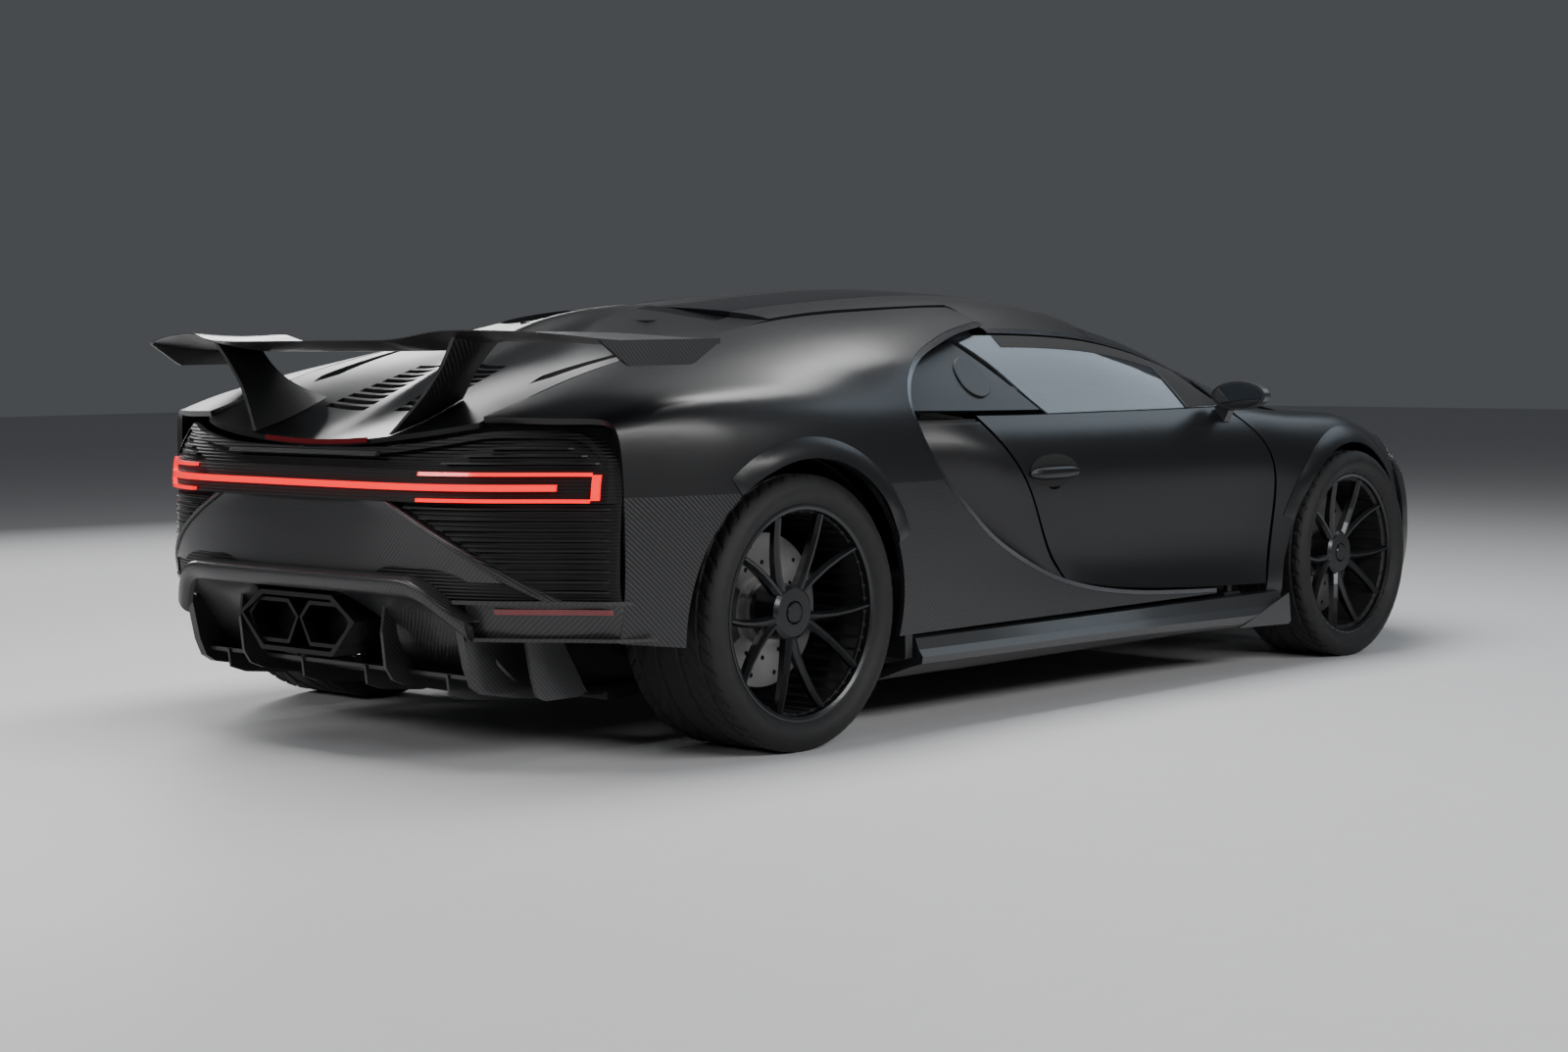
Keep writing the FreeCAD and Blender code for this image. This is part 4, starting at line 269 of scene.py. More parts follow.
@dataclass(frozen=True)
class Paint:
    """Satin metallic paint, with another finish over one zone.

    Attributes:
        zone: where the other finish lies.
        split: height of the edge of a carbon zone.
        spine, lane: half widths of the painted spine at the tail end of the roof and of the gloss lanes.
    """

    name: str
    colour: Colour = (0.0042, 0.0044, 0.0052)
    roughness: float = 0.34
    zone: Zone = Zone.NONE
    split: float = 0.673
    spine: float = 0.105
    lane: float = 0.40

    def share(self, graph: Graph) -> Signal:
        """1 where the other finish shows."""
        x, y, z = graph.axes(graph.place())
        if self.zone is Zone.LOWER_CARBON:
            return z.between(self.split + 0.0006, self.split)
        if self.zone is Zone.SHELF_CARBON:
            return z.between(self.split, self.split + 0.0006)
        side = y.math("ABSOLUTE")
        spine = self.spine + 0.02 * (x + 0.5)
        inside = (side - spine).between(0.0, 0.0012) * (side - self.lane).between(0.0012, 0.0)
        return inside * x.between(-1.12, -1.118)

    def build(self) -> Material:
        """Make the material."""
        graph = Graph(self.name, self.colour, self.roughness,
                      {"Metallic": 0.2, "Specular IOR Level": 0.42,
                       "Coat Weight": 0.22, "Coat Roughness": 0.24})
        # Painted glint: specks of the metallic flakes are painted up to 2.3 times lighter than the paint.
        flake = graph.noise(2600.0, 0.0)
        colour = graph.blend(flake.between(0.52, 0.8), self.colour, shade(self.colour, 2.3))
        rough = self.roughness + 0.05 * graph.noise(1.3)
        relief = 0.12 * flake
        if self.zone is Zone.GLOSS_LANES:
            lanes = self.share(graph)
            colour = graph.blend(lanes, colour, (0.004, 0.004, 0.005))
            rough = rough - lanes * 0.22
            relief = relief * (1.0 - lanes)
        elif self.zone is not Zone.NONE:
            weave = Weave()
            over, height = weave.pattern(graph)
            cloth = self.share(graph)
            # Painted sheen: the carbon zone's yarns take the weave's lit and shaded colours.
            colour = graph.blend(cloth, colour, graph.blend(over, weave.dark, weave.light))
            rough = rough + cloth * (0.02 + 0.1 * over)
            relief = relief * (1.0 - cloth) + height * cloth
        return graph.finish(colour, rough, relief, 0.0002, 0.5)


@dataclass(frozen=True)
class Ribbed:
    """Black moulded panel with fine level ribs, painted darker in the troughs as painted shade and lighter on
    the crests as painted highlight.
    """

    name: str = "ribbed_black"
    colour: Colour = (0.006, 0.006, 0.0065)
    pitch: float = 0.0085

    def build(self) -> Material:
        """Make the material."""
        graph = Graph(self.name, self.colour, 0.5, {"Specular IOR Level": 0.3})
        height = graph.axes(graph.place())[2]
        wave = (height * (math.tau / self.pitch)).math("SINE") * 0.5 + 0.5
        # Painted shade and highlight: the colour is darker in the rib troughs and lighter on the rib crests.
        colour = graph.blend(wave, (0.0015, 0.0015, 0.0017), (0.008, 0.008, 0.0085))
        return graph.finish(colour, 0.44 + 0.1 * graph.noise(30.0), wave, 0.0012)


@dataclass(frozen=True)
class Leather:
    """Dark leather with pebbled grain, with painted shade in the creases between pebbles and lighter crests.
    """

    name: str
    colour: Colour = (0.013, 0.0125, 0.0125)
    pebble: float = 520.0

    def build(self) -> Material:
        """Make the material."""
        graph = Graph(self.name, self.colour, 0.5, {"Sheen Weight": 0.12, "Specular IOR Level": 0.45})
        pebbles = {"Vector": graph.place(), "Scale": self.pebble, "Randomness": 0.9}
        cell = graph.add("ShaderNodeTexVoronoi", pebbles, feature="DISTANCE_TO_EDGE")
        crease = cell.between(0.0, 0.22)
        cloud = graph.noise(14.0, 4.0)
        # Painted shade: the creases between the pebbles are darker, the crests lighter.
        ends = shade(self.colour, 0.55), shade(self.colour, 1.5)
        colour = graph.blend(crease * (0.55 + 0.45 * cloud), *ends)
        rough = 0.42 + 0.14 * cloud + 0.1 * (1.0 - crease)
        return graph.finish(colour, rough, crease + 0.4 * graph.noise(1900.0), 0.00035, 0.7)


@dataclass(frozen=True)
class Rubber:
    """Tyre rubber with lighter, rougher dusty blotches all over."""

    name: str = "tyre_rubber"
    colour: Colour = (0.006, 0.006, 0.0065)

    def build(self) -> Material:
        """Make the material."""
        graph = Graph(self.name, self.colour, 0.6, {"Specular IOR Level": 0.4})
        dust = graph.noise(26.0, 5.0)
        colour = graph.blend(dust.between(0.4, 0.75), self.colour, (0.013, 0.0127, 0.0125))
        return graph.finish(colour, 0.52 + 0.22 * dust, graph.noise(1500.0, 3.0), 0.00015, 0.6)


@dataclass(frozen=True)
class Plain:
    """Even moulded or cast surface with a fine grain.

    Attributes:
        grain: cells of the grain in each metre.
        depth: height of the grain.
        mottle: how far the colour and roughness wander.
    """

    name: str
    colour: Colour
    roughness: float
    metallic: float = 0.0
    coat: float = 0.0
    grain: float = 900.0
    depth: float = 0.0001
    mottle: float = 0.15

    def build(self) -> Material:
        """Make the material."""
        graph = Graph(self.name, self.colour, self.roughness,
                      {"Metallic": self.metallic, "Coat Weight": self.coat, "Coat Roughness": 0.1})
        grain = graph.noise(self.grain, 3.0)
        cloud = graph.noise(9.0, 3.0)
        ends = shade(self.colour, 1.0 - self.mottle), shade(self.colour, 1.0 + self.mottle)
        rough = self.roughness + 0.3 * self.mottle * (grain + cloud - 1.0)
        return graph.finish(graph.blend(cloud, *ends), rough, grain, self.depth)


@dataclass(frozen=True)
class Glass:
    """Tinted glazing, thin and dark."""

    name: str
    tint: Colour
    alpha: float
    roughness: float = 0.03

    def build(self) -> Material:
        """Make the material."""
        graph = Graph(self.name, self.tint, self.roughness,
                      {"Alpha": self.alpha, "IOR": 1.5, "Coat Weight": 1.0, "Coat Roughness": 0.02})
        graph.link("Roughness", self.roughness + 0.05 * graph.noise(3.0, 4.0))
        return graph.material


@dataclass(frozen=True)
class Glow:
    """Lit lamp body behind a clear face."""

    name: str
    colour: Colour
    strength: float

    def build(self) -> Material:
        """Make the material."""
        graph = Graph(self.name, self.colour, 0.2,
                      {"Emission Strength": self.strength, "Coat Weight": 0.6, "Coat Roughness": 0.05})
        cell = graph.noise(180.0, 1.0)
        glow = graph.blend(cell, shade(self.colour, 0.75), self.colour)
        graph.link("Emission Color", glow)
        graph.link("Base Color", glow)
        return graph.material


# Mesh tools

def add_mesh(name: str, points: np.ndarray, faces: Faces, material: Material, body: str,
             slot: str, crease: float = 38.0) -> bpy.types.Object:
    """Make one finished piece.

    Args:
        name: piece name.
        points: vertices in metres, in the last axis.
        faces: vertex numbers of each face, counter-clockwise from outside.
        material, slot: its finish, and the record's slot, which is not used.
        body: CAD body that it moves with.
        crease: angle in degrees above which an edge is sharp.
    Returns:
        The object.
    """
    mesh = bpy.data.meshes.new(name)
    mesh.from_pydata(np.asarray(points, float).reshape(-1, 3).tolist(), [], faces)
    mesh.polygons.foreach_set("use_smooth", np.ones(len(mesh.polygons), bool))
    mesh.set_sharp_from_angle(angle=math.radians(crease))
    mesh.materials.append(material)
    piece = bpy.data.objects.new(name, mesh)
    bpy.context.collection.objects.link(piece)
    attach(piece, body)
    log.info("%s: %d vertices, %d faces", name, len(mesh.vertices), len(mesh.polygons))
    return piece


def turned(faces: Faces, turn: bool) -> Faces:
    """The faces, seen from their other side if asked."""
    return [face[::-1] for face in faces] if turn else faces


def grid_faces(rows: int, columns: int, wrap: bool = False) -> Faces:
    """Quads of a grid of points, rows first, its columns wrapped round on request."""
    i = np.arange(rows - 1)[:, None]
    j = np.arange(columns if wrap else columns - 1)[None, :]
    over = (j + 1) % columns
    corners = (i * columns + j, i * columns + over, (i + 1) * columns + over, (i + 1) * columns + j)
    stacked = np.stack([np.broadcast_to(corner, (i.size, j.size)) for corner in corners], -1)
    return [tuple(face) for face in stacked.reshape(-1, 4).tolist()]


def spline(points: np.ndarray, places: np.ndarray, closed: bool = False) -> np.ndarray:
    """Catmull-Rom curve through points.

    Args:
        points: points along the first axis.
        places: where the curve is wanted, counted in points.
        closed: whether the curve runs on from the last point to the first.
    Returns:
        The curve's points along the first axis.
    """
    count = len(points)
    last = np.floor(places).astype(int)
    last = last % count if closed else np.clip(last, 0, count - 2)
    t = (places - np.floor(places) if closed else places - last).reshape(-1, *[1] * (points.ndim - 1))
    around = [(last + k) % count if closed else np.clip(last + k, 0, count - 1) for k in (-1, 0, 1, 2)]
    a, b, c, d = (points[index] for index in around)
    square, cube = 2 * a - 5 * b + 4 * c - d, 3 * b - a - 3 * c + d
    return 0.5 * (2 * b + (c - a) * t + square * t ** 2 + cube * t ** 3)


def corner_cut(points: np.ndarray, rounds: int) -> np.ndarray:
    """Open polyline with its corners cut again and again, so that it stays inside its own hull."""
    for _ in range(rounds):
        cut = np.empty((2 * len(points), 2))
        cut[0], cut[-1] = points[0], points[-1]
        cut[1:-1:2] = 0.75 * points[:-1] + 0.25 * points[1:]
        cut[2:-1:2] = 0.25 * points[:-1] + 0.75 * points[1:]
        points = cut
    return points


def resampled(points: np.ndarray, count: int) -> np.ndarray:
    """Polyline with evenly spaced points."""
    run = np.concatenate([[0.0], np.cumsum(np.linalg.norm(np.diff(points, axis=0), axis=1))])
    places = np.linspace(0.0, run[-1], count)
    return np.stack([np.interp(places, run, points[:, k]) for k in range(points.shape[1])], 1)


def last_inside(inside: Callable[[float], object], near: float, far: float, rounds: int) -> float:
    """Last place that is inside, found by halving between one that is and one that isn't."""
    for _ in range(rounds):
        middle = 0.5 * (near + far)
        near, far = (middle, far) if inside(middle) else (near, middle)
    return near


def round_angles(count: int) -> np.ndarray:
    """Evenly spaced angles once round a circle."""
    return np.linspace(0.0, math.tau, count, endpoint=False)


class Caster:
    """Finds points on a CAD node by casting rays at it from outside the car.

    Args:
        frame: the loaded frame.
        name: the node.
    """

    def __init__(self, frame: dict, name: str) -> None:
        node = frame["nodes"][name]
        points = [node.matrix_world @ vertex.co for vertex in node.data.vertices]
        self.tree = BVHTree.FromPolygons(points, [face.vertices[:] for face in node.data.polygons])

    def hit(self, start: Place, way: Place) -> Vector | None:
        """First point met from a start along a direction."""
        return self.tree.ray_cast(Vector(start), Vector(way))[0]

    def ahead(self, y: float, z: float) -> Vector | None:
        """Point seen square from the front."""
        return self.hit((2.6, y, z), (-1, 0, 0))


# Wheels

@dataclass
class Tyre:
    """Road tyre with a blocked tread and ringed, bare sidewalls.

    The section is an eight-point outline with its corners cut, which keeps it inside the CAD tyre.
    Grooves, sipes and rings sink it along its own radius.

    Attributes:
        key: wheel name in the frame.
        centre: wheel centre.
        radius, bead, half: outer radius, seat radius and half of the width.
        seat_out, seat_in: where the beads sit, measured outwards from the wheel's middle plane.
        steps, rings: points round the wheel and across the section.
        chamfer, flat: width of the shoulder's slope, and of the flat edge beside it.
        grooves: places of the round grooves, as shares of half.
        groove: half width and depth of a round groove.
        slant: width over which a sipe moves round by one step.
        block_from, sipe_from: shares of half where shoulder blocks and inner sipes start.
    """

    key: str
    centre: Place
    radius: float
    bead: float
    half: float
    seat_out: float
    seat_in: float
    steps: int = 288
    rings: int = 124
    chamfer: float = 0.022
    flat: float = 0.03
    grooves: tuple[float, ...] = (-0.64, -0.22, 0.22, 0.64)
    groove: tuple[float, float] = (0.0046, 0.0062)
    slant: float = 0.0085
    block_from: float = 0.66
    sipe_from: float = 0.26

    def section(self) -> np.ndarray:
        """Points (outward, radius) from the outer bead to the inner one."""
        middle = 0.5 * (self.bead + self.radius)
        corner = self.half - self.chamfer
        outline = np.array([
            (self.seat_out, self.bead), (self.half, middle), (corner, self.radius),
            (corner - self.flat, self.radius), (self.flat - corner, self.radius), (-corner, self.radius),
            (-self.half, middle), (self.seat_in, self.bead)])
        return resampled(corner_cut(outline, 4), self.rings)

    def depth(self, out: np.ndarray, radius: np.ndarray, column: np.ndarray) -> np.ndarray:
        """How deep each point is sunk, from its place across and round the tyre."""
        off = np.abs(out)
        depth = np.zeros((self.rings, self.steps))
        for share in self.grooves:
            depth = np.where(np.abs(out - share * self.half) < self.groove[0], self.groove[1], depth)
        tread = off < self.half - 0.026
        lean = np.floor(off / self.slant).astype(int)
        shoulder = off > self.block_from * self.half
        inner = (off > self.sipe_from * self.half) & ~shoulder
        depth = np.where(tread & shoulder & ((column + lean) % 6 == 0), 0.0045, depth)
        depth = np.where(tread & inner & ((column + 2 * lean) % 9 == 0), 0.0035, depth)
        side = off > self.half - 0.03
        height = (radius - self.bead) / (self.radius - self.bead)
        rings = (np.abs(height - 0.16) < 0.022) | (np.abs(height - 0.74) < 0.018)
        ribs = (height > 0.8) & (height < 0.97) & (column % 4 < 2)
        return np.where(side & ribs, 0.0008, np.where(side & rings, 0.0009, depth))

    def build(self, material: Material) -> None:
        """Make the tyre in place of its CAD node.

        Args:
            material: its finish.
        """
        section = self.section()
        out, radius = section[:, :1], section[:, 1:]
        column = np.arange(self.steps)[None, :]
        angle = math.tau * column / self.steps
        reach = radius - self.depth(out, radius, column)
        side = math.copysign(1.0, self.centre[1])
        points = np.stack([self.centre[0] + reach * np.sin(angle),
                           self.centre[1] + side * np.broadcast_to(out, reach.shape),
                           self.centre[2] + reach * np.cos(angle)], -1)
        faces = grid_faces(self.rings, self.steps, wrap=True)
        last = (self.rings - 1) * self.steps
        faces += [(last + k, last + (k + 1) % self.steps, (k + 1) % self.steps, k) for k in range(self.steps)]
        tyre = add_mesh(f"tread_{self.key}", points, turned(faces, side > 0), material,
                        f"wheel_{self.key}", "tyre_rubber", 30.0)
        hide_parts(f"tyre_{self.key}")


# Seat radius and the outer bead's place, then how far the inner bead lies inside the edge.
FITS = {"front": (0.2466, 0.0895), "rear": (0.2596, 0.129)}
INNER_BEAD = 0.035


def tyres(material: Material) -> None:
    """Make the four tyres from the boxes of their CAD nodes."""
    for key in ("front_right", "front_left", "rear_right", "rear_left"):
        low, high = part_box(f"tyre_{key}")
        centre = tuple(0.5 * (low[k] + high[k]) for k in range(3))
        bead, seat_out = FITS[key.split("_")[0]]
        half = 0.5 * (high[1] - low[1])
        radius = 0.5 * (high[2] - low[2])
        Tyre(key, centre, radius, bead, half, seat_out, INNER_BEAD - half).build(material)


# Seats

@dataclass(frozen=True)
class Section:
    """Trough section of a seat pad, square to a direction that leans by an angle.

    Attributes:
        x, z: middle of the section's floor.
        half: half of the width.
        edge: height of the side bolsters.
        thick: depth below the floor.
        lean: degrees from upright towards +X.
    """

    x: float
    z: float
    half: float
    edge: float
    thick: float
    lean: float

    def ring(self, middle: float) -> np.ndarray:
        """Eight points round the section."""
        up = np.array([math.sin(math.radians(self.lean)), 0.0, math.cos(math.radians(self.lean))])
        half_profile = ((-1.0, self.edge), (-0.72, 0.8 * self.edge), (-0.45, 0.0))
        across = (*half_profile, *((-a, rise) for a, rise in half_profile[::-1]),
                  (0.9, -self.thick), (-0.9, -self.thick))
        return np.array([(self.x, middle + self.half * a, self.z) + up * rise for a, rise in across])


@dataclass
class Pad:
    """Stuffed leather pad over ring sections, with sewn cross channels and piped sides.

    Attributes:
        name: piece name without its side.
        channels: number of sewn channels along the pad.
        fill: how tight it is stuffed; not used.
        sections: from one end to the other.
        inset: size of the pad as a share of its sections.
        rows, columns: points along the pad and round it.
        channel, piping: depth of a channel and of the groove beside the piping, as shares of the section.
    """

    name: str
    channels: int
    fill: float
    sections: tuple[Section, ...]
    inset: float = 0.96
    rows: int = 72
    columns: int = 72
    channel: float = 0.045
    piping: float = 0.03

    def build(self, middle: float, tag: str, material: Material) -> bpy.types.Object:
        """Make the pad about a middle plane.

        Splines through the rings, along and round, are pulled in to the ring's own centre by the
        inset, by bell curves at the channels and piping, and by a round closing at both ends.
        """
        rings = np.array([section.ring(middle) for section in self.sections])
        t = 0.5 - 0.5 * np.cos(np.linspace(0.0, math.pi, self.rows))
        along = spline(rings, t * (len(rings) - 1))
        places = np.linspace(0.0, 8.0, self.columns, endpoint=False)
        grid = np.moveaxis(spline(np.moveaxis(along, 1, 0), places, closed=True), 0, 1)
        centre = grid.mean(axis=1, keepdims=True)
        close = np.clip(1.0 - np.abs(2.0 * t - 1.0) ** 9, 0.0, 1.0) ** 0.3
        channel = np.exp(-((t * self.channels + 0.5) % 1.0 - 0.5) ** 2 / 0.006)
        around = (places + 0.5) % 8.0
        top = np.exp(-((around - 3.0) / 1.3) ** 4)
        piping = sum(np.exp(-((around - place) / 0.10) ** 2) for place in (1.9, 4.1))
        sewn = self.channel * channel[:, None] * top[None, :] + self.piping * piping[None, :]
        size = np.clip((self.inset * close)[:, None] - sewn, 0.02, 1.0)
        points = centre + (grid - centre) * size[..., None]
        poles = np.stack([points[0].mean(0), points[-1].mean(0)])
        faces = grid_faces(self.rows, self.columns, wrap=True)
        first, last = self.rows * self.columns, (self.rows - 1) * self.columns
        for k in range(self.columns):
            over = (k + 1) % self.columns
            faces += [(over, k, first), (last + k, last + over, first + 1)]
        pad = add_mesh(f"{self.name}_{tag}", np.concatenate([points.reshape(-1, 3), poles]), faces, material,
                       "chassis", "black_leather", 60.0)
        return pad


PADS = (
    Pad("cushion", 5, 0.7, (
        Section(0.252, 0.318, 0.205, 0.030, 0.048, -12),
        Section(0.130, 0.322, 0.230, 0.056, 0.052, -6),
        Section(0.0, 0.300, 0.232, 0.064, 0.042, 2),
        Section(-0.110, 0.293, 0.232, 0.070, 0.038, 12))),
    Pad("backrest", 6, 0.7, (
        Section(-0.126, 0.345, 0.230, 0.070, 0.056, 64),
        Section(-0.205, 0.470, 0.232, 0.080, 0.054, 62),
        Section(-0.290, 0.660, 0.232, 0.078, 0.050, 66),
        Section(-0.348, 0.792, 0.218, 0.044, 0.046, 68))),
    Pad("headrest", 1, 0.8, (
        Section(-0.354, 0.806, 0.144, 0.016, 0.042, 68),
        Section(-0.398, 0.915, 0.118, 0.014, 0.042, 68),
        Section(-0.416, 0.978, 0.088, 0.008, 0.038, 70))),
)


@dataclass(frozen=True)
class Runners:
    """Two rails under a seat, with rounded edges.

    Attributes:
        ends, heights: span along X and Z.
        off, half: place each side of the seat's middle, and half of a rail's width.
        bevel: radius of the edges.
    """

    ends: tuple[float, float] = (-0.15, 0.215)
    heights: tuple[float, float] = (0.1503, 0.262)
    off: float = 0.15
    half: float = 0.014
    bevel: float = 0.003

    def build(self, middle: float, tag: str, material: Material) -> bpy.types.Object:
        """Make both rails as one piece."""
        shape = bmesh.new()
        (back, front), (low, high) = self.ends, self.heights
        size = (front - back, 2.0 * self.half, high - low)
        for off in (-self.off, self.off):
            made = bmesh.ops.create_cube(shape, size=1.0)["verts"]
            place = (0.5 * (back + front), middle + off, 0.5 * (low + high))
            bmesh.ops.scale(shape, vec=size, verts=made)
            bmesh.ops.translate(shape, vec=place, verts=made)
        bmesh.ops.bevel(shape, geom=shape.edges[:], offset=self.bevel, segments=3, profile=0.6,
                        affect="EDGES")
        points = np.array([vertex.co[:] for vertex in shape.verts])
        faces = [tuple(vertex.index for vertex in face.verts) for face in shape.faces]
        shape.free()
        return add_mesh(f"runners_{tag}", points, faces, material, "chassis", "cast_links", 45.0)


def seats(leather: Material, metal: Material) -> None:
    """Make both bucket seats in place of the CAD ones."""
    for tag, middle in (("right", -0.372), ("left", 0.372)):
        pads = [pad.build(middle, tag, leather) for pad in PADS]
        for piece in (*pads, Runners().build(middle, tag, metal)):
            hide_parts("seats")


# Grille

@dataclass
class Honeycomb:
    """Hexagonal mesh laid on a CAD panel, seen along -X.

    Attributes:
        cell: corner radius of a cell.
        wire: width of the web.
        proud, foot: heights of the web's crest and foot over the panel.
        deep: how far behind the foremost point the panel is still covered.
        inner, outer, top: span of |y| and height where the side panels are carried on past their CAD edge.
    """

    cell: float = 0.0125
    wire: float = 0.0017
    proud: float = 0.006
    foot: float = 0.0004
    deep: float = 0.34
    inner: float = 0.31
    outer: float = 0.47
    top: float = 0.42

    def carried_on(self, caster: Caster) -> np.ndarray:
        """Coefficients of x over 1, |y|, y squared and z, fitted to the right side panel."""
        places = [(y, z) for y in np.linspace(-0.7, -0.44, 27) for z in np.linspace(0.25, 0.38, 8)]
        hits = [caster.ahead(*place) for place in places]
        spots = np.array([hit[:] for hit in hits if hit is not None])
        return np.linalg.lstsq(self.terms(spots[:, 1], spots[:, 2]), spots[:, 0], rcond=None)[0]

    @staticmethod
    def terms(y: np.ndarray, z: np.ndarray) -> np.ndarray:
        """Terms of the fit, one row for each point."""
        return np.stack([np.ones_like(y), np.abs(y), y ** 2, z], -1)

    def point(self, caster: Caster, fit: np.ndarray, y: float, z: float) -> Vector | None:
        """Point of the panel, or of the side panel's continuation."""
        hit = caster.ahead(y, z)
        if hit is None and self.inner < abs(y) < self.outer and z < self.top:
            return Vector((float(self.terms(np.array([y]), np.array([z]))[0] @ fit), y, z))
        return hit

    def build(self, caster: Caster, box: tuple[Vector, Vector], material: Material) -> None:
        """Cover a CAD panel.

        Args:
            caster: finds points on the panel.
            box: two corners of the span that is tried.
            material: its finish.
        """
        low, high = box
        step, rise, fit = self.cell * math.sqrt(3.0), 1.5 * self.cell, self.carried_on(caster)
        angles = np.radians(np.arange(6) * 60.0)
        corners = [(self.cell * math.sin(a), self.cell * math.cos(a)) for a in angles]
        share = 1.0 - self.wire / self.cell
        points: list[Place] = []
        faces: Faces = []
        for row in range(int((high[2] - low[2]) / rise) + 1):
            z = low[2] + rise * row
            for column in range(int((high[1] - low[1]) / step) + 2):
                y = low[1] + step * (column + 0.5 * (row % 2))
                ring = [self.point(caster, fit, y + dy, z + dz) for dy, dz in corners]
                if any(p is None or p[0] < high[0] - self.deep for p in ring):
                    continue
                start = len(points)
                middle = sum(ring, Vector()) / 6.0
                for p in ring:
                    q = middle + (p - middle) * share
                    points += [(p[0] + self.proud, p[1], p[2]), (q[0] + self.proud, q[1], q[2]),
                               (q[0] + self.foot, q[1], q[2]), (p[0] + self.foot, p[1], p[2])]
                for k in range(6):
                    a, b = start + 4 * k, start + 4 * ((k + 1) % 6)
                    faces += [(a, a + 1, b + 1, b), (a + 1, a + 2, b + 2, b + 1), (a + 3, a, b, b + 3)]
        add_mesh("grille_mesh", points, faces, material, "chassis", "dark_mesh", 25.0)


# Lamps, side windows, door handles and mirrors

@dataclass
class SidePart:
    """Sub-assembly on one side of the car.

    Attributes:
        tag, side: right and -1.0, or left and 1.0.
        caster: finds points on the CAD node that it lies on.
    """

    tag: str
    side: float
    caster: Caster

    def beside(self, x: float, z: float) -> Vector | None:
        """Point of the CAD node seen square from this side, out of reach of all of it."""
        return self.caster.hit((x, self.side * 1.3, z), (0, -self.side, 0))

    def add(self, name: str, points: object, faces: Faces, material: Material,
            slot: str = "black_plastic") -> None:
        """Make a piece that moves with this side's door."""
        add_mesh(f"{name}_{self.tag}", points, faces, material, f"door_{self.tag}", slot)


@dataclass
class LampRow(SidePart):
    """Row of square projector cells on a headlamp, each a raised frame round a domed lens.

    Attributes:
        cells: number of cells.
        half, rim: half size of a lens, and width of its frame.
        reach: share of the lamp's half length that the row takes.
        lifts: heights of the frame's foot and crest, and of the lens's foot and crown.
        crown: size of the lens's flat crown as a share of the lens.
    """

    cells: int = 4
    half: float = 0.024
    rim: float = 0.006
    reach: float = 0.66
    lifts: tuple[float, float, float, float] = (0.0004, 0.0042, 0.0006, 0.0044)
    crown: float = 0.3

    def spots(self) -> np.ndarray:
        """Points of the lamp seen from above."""
        found = [self.caster.hit((x, self.side * y, 1.2), (0, 0, -1))
                 for x in np.linspace(1.66, 2.12, 47) for y in np.linspace(0.42, 0.96, 55)]
        return np.array([p[:] for p in found if p is not None and p[2] > 0.5])

    def build(self, rim: Material, lens: Material) -> None:
        """Make the cells along the lamp, projected on it.

        Args:
            rim, lens: finishes of the frames and the lenses.
        """
        spots = self.spots()
        middle = spots.mean(axis=0)
        ways = np.linalg.svd(spots - middle, full_matrices=False)[2]
        along, across = ways[0] * np.sign(ways[0][0] or 1.0), ways[1]
        up = ways[2] * np.sign(ways[2][2])
        spread = (spots - middle) @ along
        length = np.percentile(np.abs(spread), 90)
        turn = round_angles(28)
        square = np.stack([np.sign(wave) * np.abs(wave) ** 0.45 for wave in (np.cos(turn), np.sin(turn))], 1)
        frames, lenses = [], []
        sizes = (self.half + self.rim, self.half, self.half, self.crown * self.half)
        for t in np.linspace(-self.reach, self.reach, self.cells):
            near = spots[np.abs(spread - t * length) < 0.02].mean(axis=0)
            for size, lift, store in zip(sizes, self.lifts, (frames, frames, lenses, lenses)):
                ring = near + (square[:, :1] * along + square[:, 1:] * across) * size
                laid = [self.caster.hit(spot + 0.1 * up, -up)[:] for spot in ring]
                store.append(np.array(laid) + up * lift)
        for name, rings, finish, slot in (("frames", frames, rim, "black_plastic"),
                                          ("cells", lenses, lens, "lamp_lens")):
            points = np.concatenate(rings)
            normal = np.cross(points[1] - points[0], points[len(square)] - points[0])
            faces = turned(self.faces(len(square), name == "cells"), normal @ up < 0)
            add_mesh(f"lamp_{name}_{self.tag}", points, faces, finish, "chassis", slot, 25.0)

    def faces(self, count: int, closed: bool) -> Faces:
        """Faces between the two rings of each cell, with the inner ring filled if closed."""
        cell = grid_faces(2, count, wrap=True) + [tuple(range(count, 2 * count))] * closed
        return [tuple(2 * count * k + corner for corner in face) for k in range(self.cells) for face in cell]


@dataclass
class Frit(SidePart):
    """Black printed band along the upper edge of a side window.

    Attributes:
        width: height of the band.
        lift: how far it stands off the glass.
        columns: points along the band.
        span: stations where it starts and ends.
        belt, above: heights between which the glass has its edge.
    """

    width: float = 0.034
    lift: float = 0.0009
    columns: int = 90
    span: tuple[float, float] = (-0.42, 0.46)
    belt: float = 0.87
    above: float = 1.2

    def build(self, material: Material) -> None:
        """Lay the band on the window.

        Args:
            material: its finish.
        """
        rows = []
        for x in np.linspace(*self.span, self.columns):
            if self.beside(x, self.belt) is None:
                continue
            top = last_inside(lambda z: self.beside(x, z), self.belt, self.above, 14)
            hits = [self.beside(x, top - 0.0005 - drop) for drop in np.linspace(0, self.width, 4)]
            if all(hits):
                rows.append([(p[0], p[1] + self.side * self.lift, p[2] + 0.5 * self.lift) for p in hits])
        self.add("frit", rows, turned(grid_faces(len(rows), 4), self.side > 0), material)


